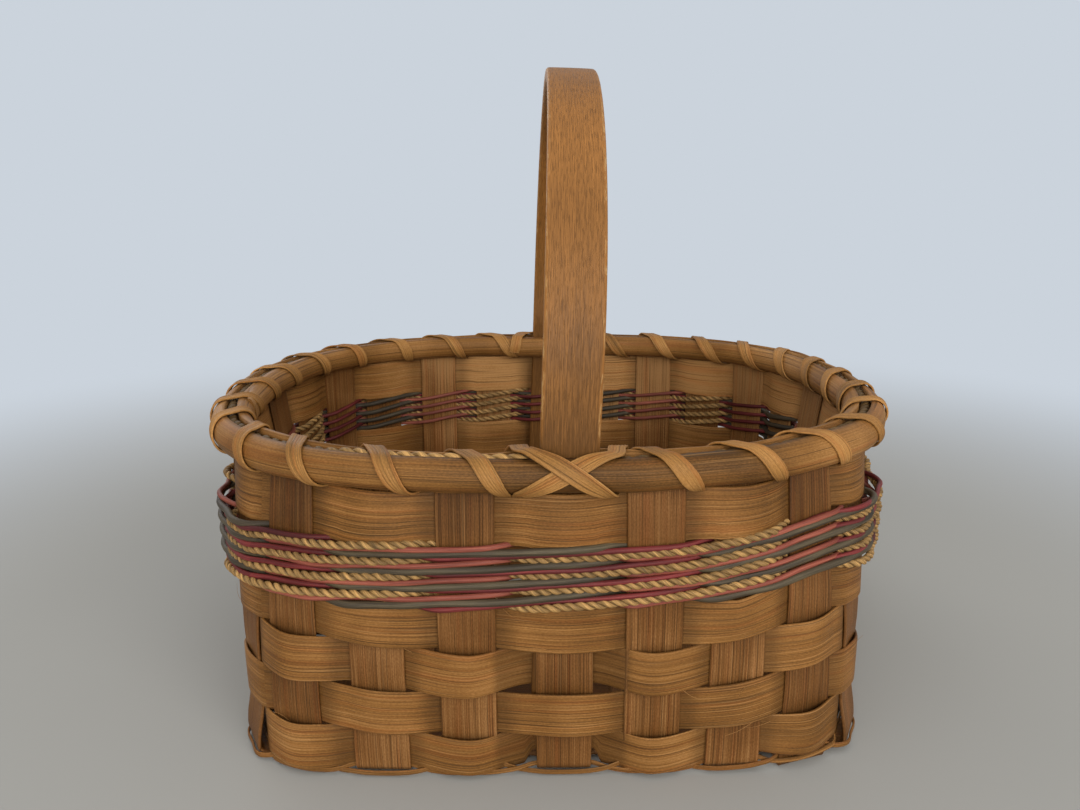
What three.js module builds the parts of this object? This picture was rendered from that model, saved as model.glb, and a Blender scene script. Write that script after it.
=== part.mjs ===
import * as THREE from 'three';

// Splint gathering basket with a fixed hoop handle. Millimetres, +Z up, +X along the oval rim,
// origin on the floor under the middle of the base.
//
// Fourteen flat stakes cross in a plain-weave square base and turn up to form 28 uprights.
// The uprights are numbered from 1 to 28 counter-clockwise from above: 1 to 7 along the front
// (-Y), 8 to 14 on the right, 15 to 21 along the back and 22 to 28 on the left.

// Gap kept between pieces that touch on the real basket
const clearance = 0.3;

// Flat splints
const stakeWidth = 22.2;
const stakeThickness = 1.3;
const weaverWidth = 18.6;
const weaverThickness = 1.3;
const rowGap = 0.6;

// Square base and oval mouth, measured to the middle of the wall
const basePitch = 34.3;
const cornerRoom = 21.7;
const rimPitch = 33.6;
const endFlare = 25.4;
const sideFlare = 1.4;
const footSquareness = 40;
const rimSquareness = 2.45;
const belly = 2.8;
const bendRadius = 2.5;
const footGap = 0.3;
const cornerFullness = 3;

// How far each stake that runs from front to back stands right of its even place
const stakeShifts = [-0.2, -0.2, 0.8, 4.1, 4.5, 3.3, -0.9];

// Coloured band of four-strand waling
const waleRows = 4;
const reedDiameter = 2.2;
const thickReedDiameter = 2.7;
const ropeDiameter = 2.7;
const waleSlack = 0.1;

// Rim: two half-round hoops, a rope filler between them and flat lashing round all three
const rimHeight = 12.7;
const rimThickness = 6.3;
const rimSlack = 0.1;
const rimRowHeight = 7.2;
const fillerDiameter = 4.5;
const lashingWidth = 6.6;
const lashingThickness = 1;
const lashingSlack = 0.6;
const innerLashingSlack = 0.2;
const crossLift = 0.8;
const crossOverLift = 2.4;
const lashingPinch = 0.6;
const crossLowReach = 0.45;
const crossUnderReach = 0.31;
const crossBeside = 7;

// Bent hardwood hoop handle
const handleWidth = 22.2;
const handleWovenThickness = 4.2;
const handleGripThickness = 5.8;
const handleTop = 283;
const handleLean = 2.2;
const handleFootShift = -3.3;
const gripStep = 2;
const gripSegments = 15;

// Counts and rows worked out from the sizes above
const perSide = 7;
const stakeCount = 4 * perSide;
const frontCentre = (perSide + 1) / 2;
const baseHalf = (frontCentre - 1) * basePitch + cornerRoom;
const rimHalfLength = baseHalf + endFlare;
const rimHalfDepth = baseHalf + sideFlare;
const centreStakeShift = stakeShifts[frontCentre - 1];
const layerStep = stakeThickness + clearance;
const matThickness = stakeThickness + layerStep;
const weaverOffset = (stakeThickness + weaverThickness) / 2 + clearance;
const thickestStrand = Math.max(reedDiameter, thickReedDiameter, ropeDiameter);
const walePitch = 2 * (thickestStrand + clearance);
const rowPitch = weaverWidth + rowGap;
const lowerRowCount = 4;
const waleBottom = footGap + lowerRowCount * rowPitch;
const topRowBottom = waleBottom + waleRows * walePitch;
const rimBottom = topRowBottom + weaverWidth + lashingThickness + 3 * clearance + rowGap;
const rimTop = rimBottom + rimHeight;
const stakeTop = rimBottom + rimRowHeight + rowGap;
const rimFace = weaverOffset + weaverThickness / 2 + clearance + rimSlack;
const handleFace = stakeThickness / 2 + clearance;
const handleStakes = [frontCentre, frontCentre + 2 * perSide];
const passHalf = stakeWidth / 2 + clearance;

// Points of the lashing's path: down to the rim's lower edge, one whole turn, and the last turn
const crossPoints = 5;
const turnPoints = 11;
const endPoints = 7;

// A quarter of the curve |x/a|^n + |y/b|^n = 1, run from the middle of the front to the right tip
class PlanCurve {
  constructor(halfX, halfY, exponent, frontPitch, evenSides) {
    this.halfX = halfX;
    this.halfY = halfY;
    this.exponent = exponent;
    this.pitch = frontPitch;
    const steps = 240;
    this.points = [];
    for (let i = 0; i <= steps; i++) {
      const angle = (Math.PI / 2) * (i / steps);
      const x = halfX * Math.sin(angle) ** (2 / exponent);
      const y = -halfY * Math.sin(Math.PI / 2 - angle) ** (2 / exponent);
      this.points.push(new THREE.Vector2(x, y));
    }
    this.lengths = [0];
    for (let i = 1; i <= steps; i++) {
      const step = this.points[i].distanceTo(this.points[i - 1]);
      this.lengths.push(this.lengths[i - 1] + step);
    }
    const total = this.lengths[steps];
    const half = (perSide - 1) / 2;
    const lastFront = this.lengthWhere((p) => p.x >= half * frontPitch);
    const sideStep = (total - lastFront) / (perSide - half);
    const firstSide = evenSides
      ? lastFront + sideStep
      : this.lengthWhere((p) => p.y >= -half * frontPitch);
    this.knots = [[half, lastFront], [half + 1, firstSide], [perSide, total]];
  }

  lengthWhere(test) {
    const i = this.points.findIndex(test);
    return this.lengths[Math.max(i, 1)];
  }

  frontPoint(x) {
    const ratio = Math.min(Math.abs(x) / this.halfX, 1);
    const y = -this.halfY * (1 - ratio ** this.exponent) ** (1 / this.exponent);
    return new THREE.Vector2(x, y);
  }

  alongQuarter(q) {
    const [[q0, l0], [q1, l1], [q2, l2]] = this.knots;
    if (q <= q0) return this.frontPoint(q * this.pitch);
    const length = q <= q1
      ? l0 + ((q - q0) * (l1 - l0)) / (q1 - q0)
      : l1 + ((q - q1) * (l2 - l1)) / (q2 - q1);
    let i = 1;
    while (i < this.lengths.length - 1 && this.lengths[i] < length) i += 1;
    const part = (length - this.lengths[i - 1]) / (this.lengths[i] - this.lengths[i - 1]);
    return this.points[i - 1].clone().lerp(this.points[i], Math.min(part, 1));
  }

  // Point beside upright s, where s counts uprights and may lie between two of them
  at(s) {
    const turn = THREE.MathUtils.euclideanModulo(s - frontCentre, stakeCount);
    const quarter = Math.floor(turn / perSide);
    const inside = turn - quarter * perSide;
    const q = quarter % 2 === 0 ? inside : perSide - inside;
    const point = this.alongQuarter(q);
    const right = quarter < 2;
    const front = quarter === 0 || quarter === 3;
    return new THREE.Vector2(right ? point.x : -point.x, front ? point.y : -point.y);
  }
}

const footCurve = new PlanCurve(baseHalf, baseHalf, footSquareness, basePitch, false);
const rimCurve = new PlanCurve(rimHalfLength, rimHalfDepth, rimSquareness, rimPitch, true);

// Sideways shift of upright k: front and back share their stakes, the sides have none
function shiftOf(k) {
  const front = stakeShifts[k - 1];
  const back = stakeShifts[3 * perSide - k];
  return front ?? back ?? 0;
}

function shiftAt(s) {
  const place = THREE.MathUtils.euclideanModulo(s - 1, stakeCount) + 1;
  const before = Math.floor(place);
  const share = THREE.MathUtils.smoothstep(place - before, 0.36, 0.64);
  return THREE.MathUtils.lerp(shiftOf(before), shiftOf(nextStake(before)), share);
}

// Heights between which the wall is ruled straight, so that stakes and weavers stay parallel
const wallLevels = [0];
for (let row = 1; row <= lowerRowCount; row++) wallLevels.push(row * rowPitch + footGap / 2);
wallLevels.push((waleBottom + topRowBottom) / 2, topRowBottom - rowGap / 2, rimBottom, rimTop);

function wallPlan(s, z) {
  const plan = footCurve.at(s).lerp(rimCurve.at(s), z / rimTop);
  plan.x += shiftAt(s);
  return plan;
}

function localPitch(k, z) {
  const level = Math.min(z, rimTop);
  return wallPlan(k + 0.5, level).distanceTo(wallPlan(k - 0.5, level));
}

// Point of the flat stretch of wall at upright k and one of the levels, across from its middle
// line and outwards from its middle plane
function levelPoint(k, level, across, offset) {
  const z = wallLevels[level];
  const step = 0.3;
  const along = wallPlan(k + step, z).sub(wallPlan(k - step, z)).normalize();
  const out = new THREE.Vector2(along.y, -along.x);
  const rise = z / rimTop;
  const bowed = offset + belly * 4 * rise * (1 - rise);
  const plan = wallPlan(k, z).addScaledVector(along, across).addScaledVector(out, bowed);
  return new THREE.Vector3(plan.x, plan.y, z);
}

function uprightPoint(k, z, across, offset) {
  let level = 0;
  while (level < wallLevels.length - 2 && wallLevels[level + 1] < z) level += 1;
  const share = (z - wallLevels[level]) / (wallLevels[level + 1] - wallLevels[level]);
  const low = levelPoint(k, level, across, offset);
  const high = levelPoint(k, level + 1, across, offset);
  const point = low.lerp(high, Math.min(share, 1));
  point.z = z;
  return point;
}

function handleX(z) {
  return centreStakeShift + handleFootShift + z * Math.tan(THREE.MathUtils.degToRad(handleLean));
}

function isHandleStake(k) {
  return handleStakes.includes(k);
}

// Half width, along the wall, that a weaver passes straight over or behind upright k
function passWidth(k, z) {
  const drift = isHandleStake(k) ? Math.abs(handleX(z) - centreStakeShift) : 0;
  return passHalf + drift;
}

// Every place round the wall where a woven piece has a section: both edges of each upright and
// the middle of each corner
function roundStations() {
  const stations = [];
  for (let k = 1; k <= stakeCount; k++) {
    stations.push({ k, edge: -1 });
    stations.push({ k, edge: 1 });
    if (k % perSide === 0) stations.push({ k, edge: 0 });
  }
  return stations;
}

function nextStake(k) {
  return (k % stakeCount) + 1;
}

function previousStake(k) {
  return ((k + stakeCount - 2) % stakeCount) + 1;
}

// Point at a station, outwards by offset from the middle of the wall
function stationPoint(station, z, offset) {
  const { k, edge } = station;
  if (edge !== 0) return uprightPoint(k, z, edge * passWidth(k, z), offset);
  const point = uprightPoint(k, z, passWidth(k, z), offset);
  const next = nextStake(k);
  point.lerp(uprightPoint(next, z, -passWidth(next, z), offset), 0.5);
  const corner = Math.max(0, 1 - z / topRowBottom) * cornerFullness;
  const reach = Math.hypot(point.x, point.y);
  point.x += (corner * point.x) / reach;
  point.y += (corner * point.y) / reach;
  return point;
}

// Limits of the gap between upright k and the next, as fractional uprights
function gapLimits(k, z) {
  const next = nextStake(k);
  const from = k + passWidth(k, z) / localPitch(k, z);
  const to = k + 1 - passWidth(next, z) / localPitch(next, z);
  return [from, to];
}

// Point of the wall at place s, which counts uprights and may lie between two of them
function wallPoint(s, z, offset) {
  const place = THREE.MathUtils.euclideanModulo(s - 0.5, stakeCount) + 0.5;
  const k = Math.round(place);
  const across = (place - k) * localPitch(k, z);
  if (Math.abs(across) <= passWidth(k, z)) return uprightPoint(k, z, across, offset);
  const before = across > 0 ? k : previousStake(k);
  const after = nextStake(before);
  const [from, to] = gapLimits(before, z);
  const beyond = across > 0 ? place - k : place - k + 1;
  const share = (beyond + before - from) / (to - from);
  const start = uprightPoint(before, z, passWidth(before, z), offset);
  return start.lerp(uprightPoint(after, z, -passWidth(after, z), offset), share);
}

function wallNormal(s, z) {
  return wallPoint(s, z, 1).sub(wallPoint(s, z, 0)).normalize();
}

// Value of a rule at a station: the rule's own value beside an upright, the mean at a corner
function atStation(station, rule) {
  const { k, edge } = station;
  if (edge !== 0) return rule(k, edge);
  return (rule(k, 1) + rule(nextStake(k), -1)) / 2;
}

// Closed solid through a row of sections, each a ring of the same number of points
function loft(sections, closed) {
  const size = sections[0].length;
  const positions = [];
  for (const section of sections) {
    for (const point of section) positions.push(point.x, point.y, point.z);
  }
  const index = [];
  const spans = closed ? sections.length : sections.length - 1;
  for (let i = 0; i < spans; i++) {
    const here = i * size;
    const there = ((i + 1) % sections.length) * size;
    for (let j = 0; j < size; j++) {
      const next = (j + 1) % size;
      // Opposite faces share one diagonal, so that a thin twisted strip keeps its thickness
      const [turn, back] = j < size / 2 ? [there + next, here + j] : [here + next, there + j];
      index.push(here + j, there + j, turn);
      index.push(back, there + next, here + next);
    }
  }
  if (!closed) {
    const last = (sections.length - 1) * size;
    for (let j = 1; j < size - 1; j++) {
      index.push(0, j, j + 1);
      index.push(last, last + j + 1, last + j);
    }
  }
  return outwardGeometry(positions, index);
}

// Turns the faces round if the solid's signed volume says that they point inwards
function outwardGeometry(positions, index) {
  const corner = (i) => new THREE.Vector3().fromArray(positions, 3 * i);
  let volume = 0;
  for (let i = 0; i < index.length; i += 3) {
    const [a, b, c] = [corner(index[i]), corner(index[i + 1]), corner(index[i + 2])];
    volume += a.dot(b.cross(c));
  }
  if (volume < 0) index.reverse();
  const geometry = new THREE.BufferGeometry();
  geometry.setAttribute('position', new THREE.Float32BufferAttribute(positions, 3));
  geometry.setIndex(index);
  geometry.computeVertexNormals();
  return geometry;
}

const colours = {
  splint: '#b78748',
  darkSplint: '#a37339',
  hardwood: '#a9713a',
  rim: '#b5874b',
  lashing: '#bd8e50',
  seagrass: '#a98d5a',
  olive: '#5a5340',
  burgundy: '#6e2f33',
  pink: '#a4625c',
};

function material(name, roughness = 0.6) {
  return new THREE.MeshStandardMaterial({ color: colours[name], roughness, metalness: 0 });
}

const basket = new THREE.Group();

function addPiece(name, geometry, finish) {
  const mesh = new THREE.Mesh(geometry, finish);
  mesh.name = name;
  basket.add(mesh);
}

// Sections of one upright from its top to its foot; inner corners first
function uprightSections(k, footZ) {
  const levels = [stakeTop, ...wallLevels.slice(1, -1).reverse(), footZ + bendRadius];
  const side = stakeWidth / 2;
  const half = stakeThickness / 2;
  return levels.map((z) => [
    uprightPoint(k, z, -side, -half),
    uprightPoint(k, z, side, -half),
    uprightPoint(k, z, side, half),
    uprightPoint(k, z, -side, half),
  ]);
}

// A point of the base mat in the strip's own directions: along it, across it and up
function matPoint(strip, along, across, z) {
  return strip.alongX
    ? new THREE.Vector3(along, strip.place - across, z)
    : new THREE.Vector3(strip.place + across, along, z);
}

function matSection(strip, along, centreZ) {
  const half = stakeThickness / 2;
  const side = stakeWidth / 2;
  return [
    matPoint(strip, along, -side, centreZ + half),
    matPoint(strip, along, side, centreZ + half),
    matPoint(strip, along, side, centreZ - half),
    matPoint(strip, along, -side, centreZ - half),
  ];
}

// Rounded turn from the mat up into the upright, between the last mat section and the wall
function turnSection(strip, wallAlong, direction, footZ) {
  const half = stakeThickness / 2;
  const side = stakeWidth / 2;
  const lean = Math.SQRT1_2;
  const centreAlong = wallAlong - direction * bendRadius * (1 - lean);
  const centreZ = footZ + bendRadius * (1 - lean);
  const corner = (across, sign) => matPoint(
    strip,
    centreAlong - sign * direction * half * lean,
    across,
    centreZ + sign * half * lean,
  );
  return [corner(-side, 1), corner(side, 1), corner(side, -1), corner(-side, -1)];
}

// The whole strip: down one wall, across the woven base and up the opposite wall
function stakeGeometry(strip) {
  const low = stakeThickness / 2;
  const crossings = [];
  for (let i = 1; i <= perSide; i++) {
    const shift = strip.alongX ? stakeShifts[i - 1] : 0;
    const over = (i + strip.number) % 2 === 0;
    crossings.push({
      place: (i - frontCentre) * basePitch + shift,
      z: over === strip.alongX ? low + layerStep : low,
    });
  }
  const firstZ = crossings[0].z;
  const lastZ = crossings[perSide - 1].z;
  const reach = passHalf;
  const firstWall = uprightSections(strip.firstStake, firstZ);
  const lastWall = uprightSections(strip.lastStake, lastZ).reverse();
  const matched = lastWall.map(([a, b, c, d]) => [b, a, d, c]);
  const sections = firstWall.map((section) => [...section]);
  sections.push(turnSection(strip, -baseHalf, -1, firstZ));
  for (const crossing of crossings) {
    const from = crossing === crossings[0] ? -baseHalf + bendRadius : crossing.place - reach;
    const last = crossing === crossings[perSide - 1];
    const to = last ? baseHalf - bendRadius : crossing.place + reach;
    sections.push(matSection(strip, from, crossing.z));
    sections.push(matSection(strip, to, crossing.z));
  }
  sections.push(turnSection(strip, baseHalf, 1, lastZ));
  sections.push(...matched);
  return loft(sections, false);
}

function addStakes() {
  for (let i = 1; i <= perSide; i++) {
    const depthStrip = {
      alongX: false,
      number: i,
      place: (i - frontCentre) * basePitch + stakeShifts[i - 1],
      firstStake: i,
      lastStake: 3 * perSide + 1 - i,
    };
    addPiece(`stake_depth_${i}`, stakeGeometry(depthStrip), material('darkSplint'));
  }
  for (let i = 1; i <= perSide; i++) {
    const lengthStrip = {
      alongX: true,
      number: i,
      place: (i - frontCentre) * basePitch,
      firstStake: stakeCount + 1 - i,
      lastStake: perSide + i,
    };
    addPiece(`stake_length_${i}`, stakeGeometry(lengthStrip), material('darkSplint'));
  }
}

// A flat weaver goes over one upright and behind the next; where the handle stands inside the
// upright, it goes behind the handle too
function weaverPlace(k, overOdd) {
  const over = (k % 2 === 1) === overOdd;
  if (over) return weaverOffset;
  if (!isHandleStake(k)) return -weaverOffset;
  return -(handleFace + handleWovenThickness + clearance + weaverThickness / 2);
}

function weaverGeometry(bottom, top, overOdd, innerBottom) {
  const half = weaverThickness / 2;
  const sections = roundStations().map((station) => {
    const offset = atStation(station, (k) => weaverPlace(k, overOdd));
    const low = atStation(station, (k) => (weaverPlace(k, overOdd) > 0 ? bottom : innerBottom(k)));
    return [
      stationPoint(station, top, offset + half),
      stationPoint(station, top, offset - half),
      stationPoint(station, low, offset - half),
      stationPoint(station, low, offset + half),
    ];
  });
  return loft(sections, true);
}

function addWeavers() {
  const footInner = (k) => {
    const foot = matThickness + bendRadius + clearance;
    return isHandleStake(k) ? foot + handleWovenThickness + clearance : foot;
  };
  for (let row = 1; row <= lowerRowCount; row++) {
    const bottom = footGap + (row - 1) * rowPitch;
    const innerBottom = row === 1 ? footInner : () => bottom;
    const shape = weaverGeometry(bottom, bottom + weaverWidth, row % 2 === 1, innerBottom);
    addPiece(`weaver_row_${row}`, shape, material('splint'));
  }
  const topRow = weaverGeometry(
    topRowBottom,
    topRowBottom + weaverWidth,
    false,
    () => topRowBottom,
  );
  addPiece(`weaver_row_${lowerRowCount + 1}`, topRow, material('splint'));
  const rimRow = weaverGeometry(rimBottom, rimBottom + rimRowHeight, true, () => rimBottom);
  addPiece('rim_row', rimRow, material('splint'));
}

// Each waling strand floats over three uprights and goes behind the fourth. The float starts
// low against the uprights, crosses over the next strand at the second upright and ends high.
function strandPlace(strand, k, edge) {
  const phase = THREE.MathUtils.euclideanModulo(k - strand.behind, 4);
  const inner = handleFace + waleSlack + thickestStrand / 2;
  const outer = inner + thickestStrand + clearance;
  const side = phase + edge / 4;
  const rise = side > 2 || (phase === 0 && edge < 0) ? walePitch / 4 : -walePitch / 4;
  if (phase === 1 || phase === 3) return { offset: inner, rise };
  if (phase === 2) return { offset: outer, rise };
  const depth = isHandleStake(k) ? handleWovenThickness + clearance : 0;
  return { offset: -(inner + depth), rise };
}

function strandGeometry(strand, centreZ) {
  const radius = strand.diameter / 2;
  const sections = roundStations().map((station) => {
    const offset = atStation(station, (k, edge) => strandPlace(strand, k, edge).offset);
    const z = centreZ + atStation(station, (k, edge) => strandPlace(strand, k, edge).rise);
    return [
      stationPoint(station, z, offset + radius),
      stationPoint(station, z + radius, offset),
      stationPoint(station, z, offset - radius),
      stationPoint(station, z - radius, offset),
    ];
  });
  return loft(sections, true);
}

function addWaling() {
  const strands = [
    { name: 'olive', behind: 1, diameter: thickReedDiameter },
    { name: 'burgundy', behind: 2, diameter: reedDiameter },
    { name: 'seagrass', behind: 3, diameter: ropeDiameter },
    { name: 'pink', behind: 0, diameter: reedDiameter },
  ];
  for (let row = 1; row <= waleRows; row++) {
    const centreZ = waleBottom + (row - 0.5) * walePitch;
    for (const strand of strands) {
      const shape = strandGeometry(strand, centreZ);
      addPiece(`wale_${row}_${strand.name}`, shape, material(strand.name));
    }
  }
}

// Half-round hoop section as distance from its flat face and height, from bottom to top
function hoopProfile(grow) {
  const shoulder = 0.62 * rimThickness;
  return [
    [shoulder + grow * 0.7, rimBottom + 0.1 * rimHeight - grow * 0.9],
    [rimThickness + grow, rimBottom + 0.38 * rimHeight],
    [rimThickness + grow, rimBottom + 0.62 * rimHeight],
    [shoulder + grow * 0.7, rimBottom + 0.9 * rimHeight + grow * 0.9],
  ];
}

// The inner hoop steps inwards round the handle and the rim row that passes behind it
function innerHoopFace(k) {
  if (!isHandleStake(k)) return rimFace;
  return handleFace + handleWovenThickness + 2 * clearance + weaverThickness;
}

function hoopGeometry(direction, face) {
  const profile = [[0, rimBottom], ...hoopProfile(0), [0, rimTop]].reverse();
  const stations = roundStations().filter((station) => station.edge !== 0);
  const sections = stations.map((station) => {
    const flat = face(station.k);
    return profile.map(([depth, z]) => stationPoint(station, z, direction * (flat + depth)));
  });
  return loft(sections, true);
}

// Round filler rope on top of the uprights, between the hoops, stopping at the handle
function fillerGeometry(from, to) {
  const radius = fillerDiameter / 2;
  const centreZ = stakeTop + clearance + radius;
  const sides = 6;
  const places = [from];
  for (let k = Math.floor(from); k < to; k++) {
    const limits = gapLimits(((k - 1) % stakeCount) + 1, rimTop);
    const shift = k - Math.floor(limits[0]);
    places.push(...limits.map((s) => s + shift).filter((s) => s > from && s < to));
  }
  places.push(to);
  const sections = places.map((s) => {
    const ring = [];
    for (let j = 0; j < sides; j++) {
      const angle = (2 * Math.PI * j) / sides;
      const z = centreZ + radius * Math.sin(angle);
      ring.push(wallPoint(s, z, radius * Math.cos(angle)));
    }
    return ring;
  });
  return loft(sections, false);
}

// How far from the middle of a handle stake, in uprights, the handle's edge lies on the side of
// lower (-1) or higher (1) numbers, with a spare width beside it
function handleReach(k, side, spare) {
  const toward = k === frontCentre ? side : -side;
  const drift = toward * (handleX(rimTop) - centreStakeShift);
  return (handleWidth / 2 + drift + 2 * clearance + spare) / rimPitch;
}

// Path of the lashing round the rim bundle, as [part of a turn, distance out, height]. The turn
// runs from the top over the outer hoop, under the rim and up the inner hoop.
function lashingProfile(lift) {
  const grow = clearance + lashingThickness / 2 + lashingSlack + lift;
  const outer = hoopProfile(grow).reverse().map(([depth, z]) => [rimFace + depth, z]);
  const slack = grow + innerLashingSlack;
  const inner = hoopProfile(slack).map(([depth, z]) => [-(rimFace + depth), z]);
  const top = Math.max(rimTop, stakeTop + clearance + fillerDiameter) + grow + clearance;
  const under = rimBottom - clearance - lashingThickness / 2;
  const turns = [0.1, 0.2, 0.28, 0.38];
  return [
    [0, 0, top],
    ...outer.map(([offset, z], i) => [turns[i], offset, z]),
    [0.47, rimFace, under],
    [0.53, -rimFace, under],
    ...inner.map(([offset, z], i) => [0.52 + turns[i], offset, z]),
  ];
}

// How far the inner hoop has stepped inwards at place s
function innerStep(s) {
  const place = THREE.MathUtils.euclideanModulo(s - 0.5, stakeCount) + 0.5;
  const k = Math.round(place);
  const step = (upright) => innerHoopFace(upright) - rimFace;
  const before = place < k ? previousStake(k) : k;
  const [from, to] = gapLimits(before, rimTop);
  const beyond = (place < k ? place - k + 1 : place - k) + before;
  const share = THREE.MathUtils.clamp((beyond - from) / (to - from), 0, 1);
  return THREE.MathUtils.lerp(step(before), step(nextStake(before)), share);
}

// Flat strip through places [s, offset, height], its width across the path
function stripGeometry(places) {
  const centres = places.map(([s, offset, z]) => {
    const added = offset < 0 ? innerStep(s) : 0;
    return wallPoint(s, z, offset - added);
  });
  const middleZ = (rimBottom + rimTop) / 2;
  const sections = centres.map((centre, i) => {
    const before = Math.max(i - 1, 0);
    const after = Math.min(i + 1, centres.length - 1);
    const path = centres[after].clone().sub(centres[before]).normalize();
    const [s, offset, z] = places[i];
    const outRun = places[after][1] - places[before][1];
    const upRun = places[after][2] - places[before][2];
    const facing = Math.sign(upRun * offset - outRun * (z - middleZ));
    const normal = wallNormal(s, z).multiplyScalar(upRun * facing);
    normal.z = -outRun * facing;
    const wide = normal.clone().cross(path).normalize();
    const thick = path.clone().cross(wide).normalize().multiplyScalar(lashingThickness / 2);
    wide.multiplyScalar(lashingWidthAt(s, offset, z) / 2);
    return [
      centre.clone().add(wide).add(thick),
      centre.clone().sub(wide).add(thick),
      centre.clone().sub(wide).sub(thick),
      centre.clone().add(wide).sub(thick),
    ];
  });
  return loft(sections, false);
}

// Width of the lashing: whole on the hoops, drawn in where it slips between two uprights
function lashingWidthAt(s, offset, z) {
  if (z > rimBottom || Math.abs(offset) > rimFace) return lashingWidth;
  const before = ((Math.floor(s) - 1) % stakeCount) + 1;
  const [from, to] = gapLimits(before, rimBottom);
  const room = (to - from) * localPitch(before, rimBottom) - 2 * clearance;
  return Math.min(lashingWidth, lashingPinch * room);
}

// Place in the gap after upright k, as a share of the gap
function gapPlace(k, share) {
  const before = ((k - 1) % stakeCount) + 1;
  const [from, to] = gapLimits(before, rimBottom);
  return k - before + THREE.MathUtils.lerp(from, to, share);
}

// One turn of lashing that starts over upright k, or the part of it from one point to another.
// Beside the handle its inner run is pushed on, past the step of the inner hoop.
function lashingTurn(k, fromPoint, toPoint) {
  const push = handleStakes.includes(k) ? 0.6 : 0;
  return lashingProfile(0).slice(fromPoint, toPoint).map(([turn, offset, z]) => {
    if (z > rimBottom || Math.abs(offset) > rimFace) return [k + push + (1 - push) * turn, offset, z];
    return [gapPlace(k, offset > 0 ? 0.45 : 0.55), offset, z];
  });
}

// Diagonal over the handle stake on the outer hoop, from the top on one side of the handle to
// the hoop's lower edge on the other; direction 1 leans towards higher numbers as it falls
function crossPlaces(k, direction, lift, lowReach) {
  const highReach = handleReach(k, -direction, crossBeside);
  const points = lashingProfile(lift).slice(0, crossPoints);
  const lastTurn = points[points.length - 1][0];
  return points.map(([turn, offset, z]) => {
    const s = k + direction * ((turn / lastTurn) * (highReach + lowReach) - highReach);
    return [s, offset, z];
  });
}

// Lashing from one handle stake to the other: it starts over the rim beside the handle, crosses
// the handle stake on the outside, then winds once for every upright
function lashingGeometry(handleStake) {
  const lift = lashingThickness + clearance + crossOverLift;
  const places = crossPlaces(handleStake, 1, lift, crossLowReach);
  places.push(...lashingTurn(handleStake, crossPoints, turnPoints));
  for (let k = handleStake + 1; k < handleStake + 2 * perSide - 1; k++) {
    places.push(...lashingTurn(k, 0, turnPoints));
  }
  places.push(...lashingTurn(handleStake + 2 * perSide - 1, 0, endPoints));
  return stripGeometry(places);
}

// Second leg of the cross on the handle stake, under the first
function crossGeometry(handleStake) {
  return stripGeometry(crossPlaces(handleStake, -1, crossLift, crossUnderReach));
}

function addRim() {
  addPiece('rim_hoop_outer', hoopGeometry(1, () => rimFace), material('rim'));
  addPiece('rim_hoop_inner', hoopGeometry(-1, innerHoopFace), material('rim'));
  const [front, back] = handleStakes;
  const right = fillerGeometry(front + handleReach(front, 1, 0), back - handleReach(back, -1, 0));
  addPiece('rim_filler_right', right, material('seagrass'));
  const left = fillerGeometry(
    back + handleReach(back, 1, 0),
    front + stakeCount - handleReach(front, -1, 0),
  );
  addPiece('rim_filler_left', left, material('seagrass'));
  addPiece('lashing_right', lashingGeometry(front), material('lashing'));
  addPiece('lashing_left', lashingGeometry(back), material('lashing'));
  addPiece('lashing_cross_front', crossGeometry(front), material('lashing'));
  addPiece('lashing_cross_back', crossGeometry(back), material('lashing'));
}

// Outer face of the handle leg at a height, as a distance from the middle of the basket
function legFace(z) {
  return Math.abs(uprightPoint(frontCentre, z, 0, -handleFace).y);
}

// The hoop as [distance along Y, height, inward direction along Y and Z, thickness]
function handleStations() {
  const floor = matThickness + clearance;
  const corner = bendRadius + handleWovenThickness;
  const foot = legFace(floor + corner);
  const radius = legFace(handleTop);
  const springZ = handleTop - radius;
  const thin = handleWovenThickness;
  const half = [];
  half.push([foot - corner, floor, 0, 1, thin]);
  half.push([foot - corner * (1 - Math.SQRT1_2), floor + corner * (1 - Math.SQRT1_2),
    -Math.SQRT1_2, Math.SQRT1_2, thin]);
  const shoulder = rimTop + lashingThickness + 2 * clearance;
  const levels = [floor + corner, ...wallLevels.slice(1), shoulder];
  for (const z of levels) half.push([legFace(z), z, -1, 0, thin]);
  half.push([legFace(shoulder), shoulder + gripStep, -1, 0, handleGripThickness]);
  for (let i = 0; i <= (gripSegments - 1) / 2; i++) {
    const angle = (Math.PI * i) / gripSegments;
    const y = radius * Math.cos(angle);
    const z = springZ + radius * Math.sin(angle);
    half.push([y, z, -Math.cos(angle), -Math.sin(angle), handleGripThickness]);
  }
  const mirrored = half.map(([y, z, ny, nz, thick]) => [-y, z, -ny, nz, thick]).reverse();
  return [...half, ...mirrored];
}

function handleGeometry() {
  const side = handleWidth / 2;
  const sections = handleStations().map(([y, z, inY, inZ, thick]) => {
    const innerY = y + inY * thick;
    const innerZ = z + inZ * thick;
    return [
      new THREE.Vector3(handleX(z) - side, y, z),
      new THREE.Vector3(handleX(z) + side, y, z),
      new THREE.Vector3(handleX(innerZ) + side, innerY, innerZ),
      new THREE.Vector3(handleX(innerZ) - side, innerY, innerZ),
    ];
  });
  return loft(sections, true);
}

addStakes();
addWeavers();
addWaling();
addRim();
addPiece('handle_hoop', handleGeometry(), material('hardwood', 0.5));

export default basket;
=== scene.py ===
"""Splint gathering basket: a plaited square base, an oval lashed rim, a coloured waled band and
one bent hoop handle. Lengths are in metres, +Z is up and +X runs along the oval rim."""

import math
import random

import bpy
import numpy as np
from mathutils import Matrix, Vector


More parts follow.
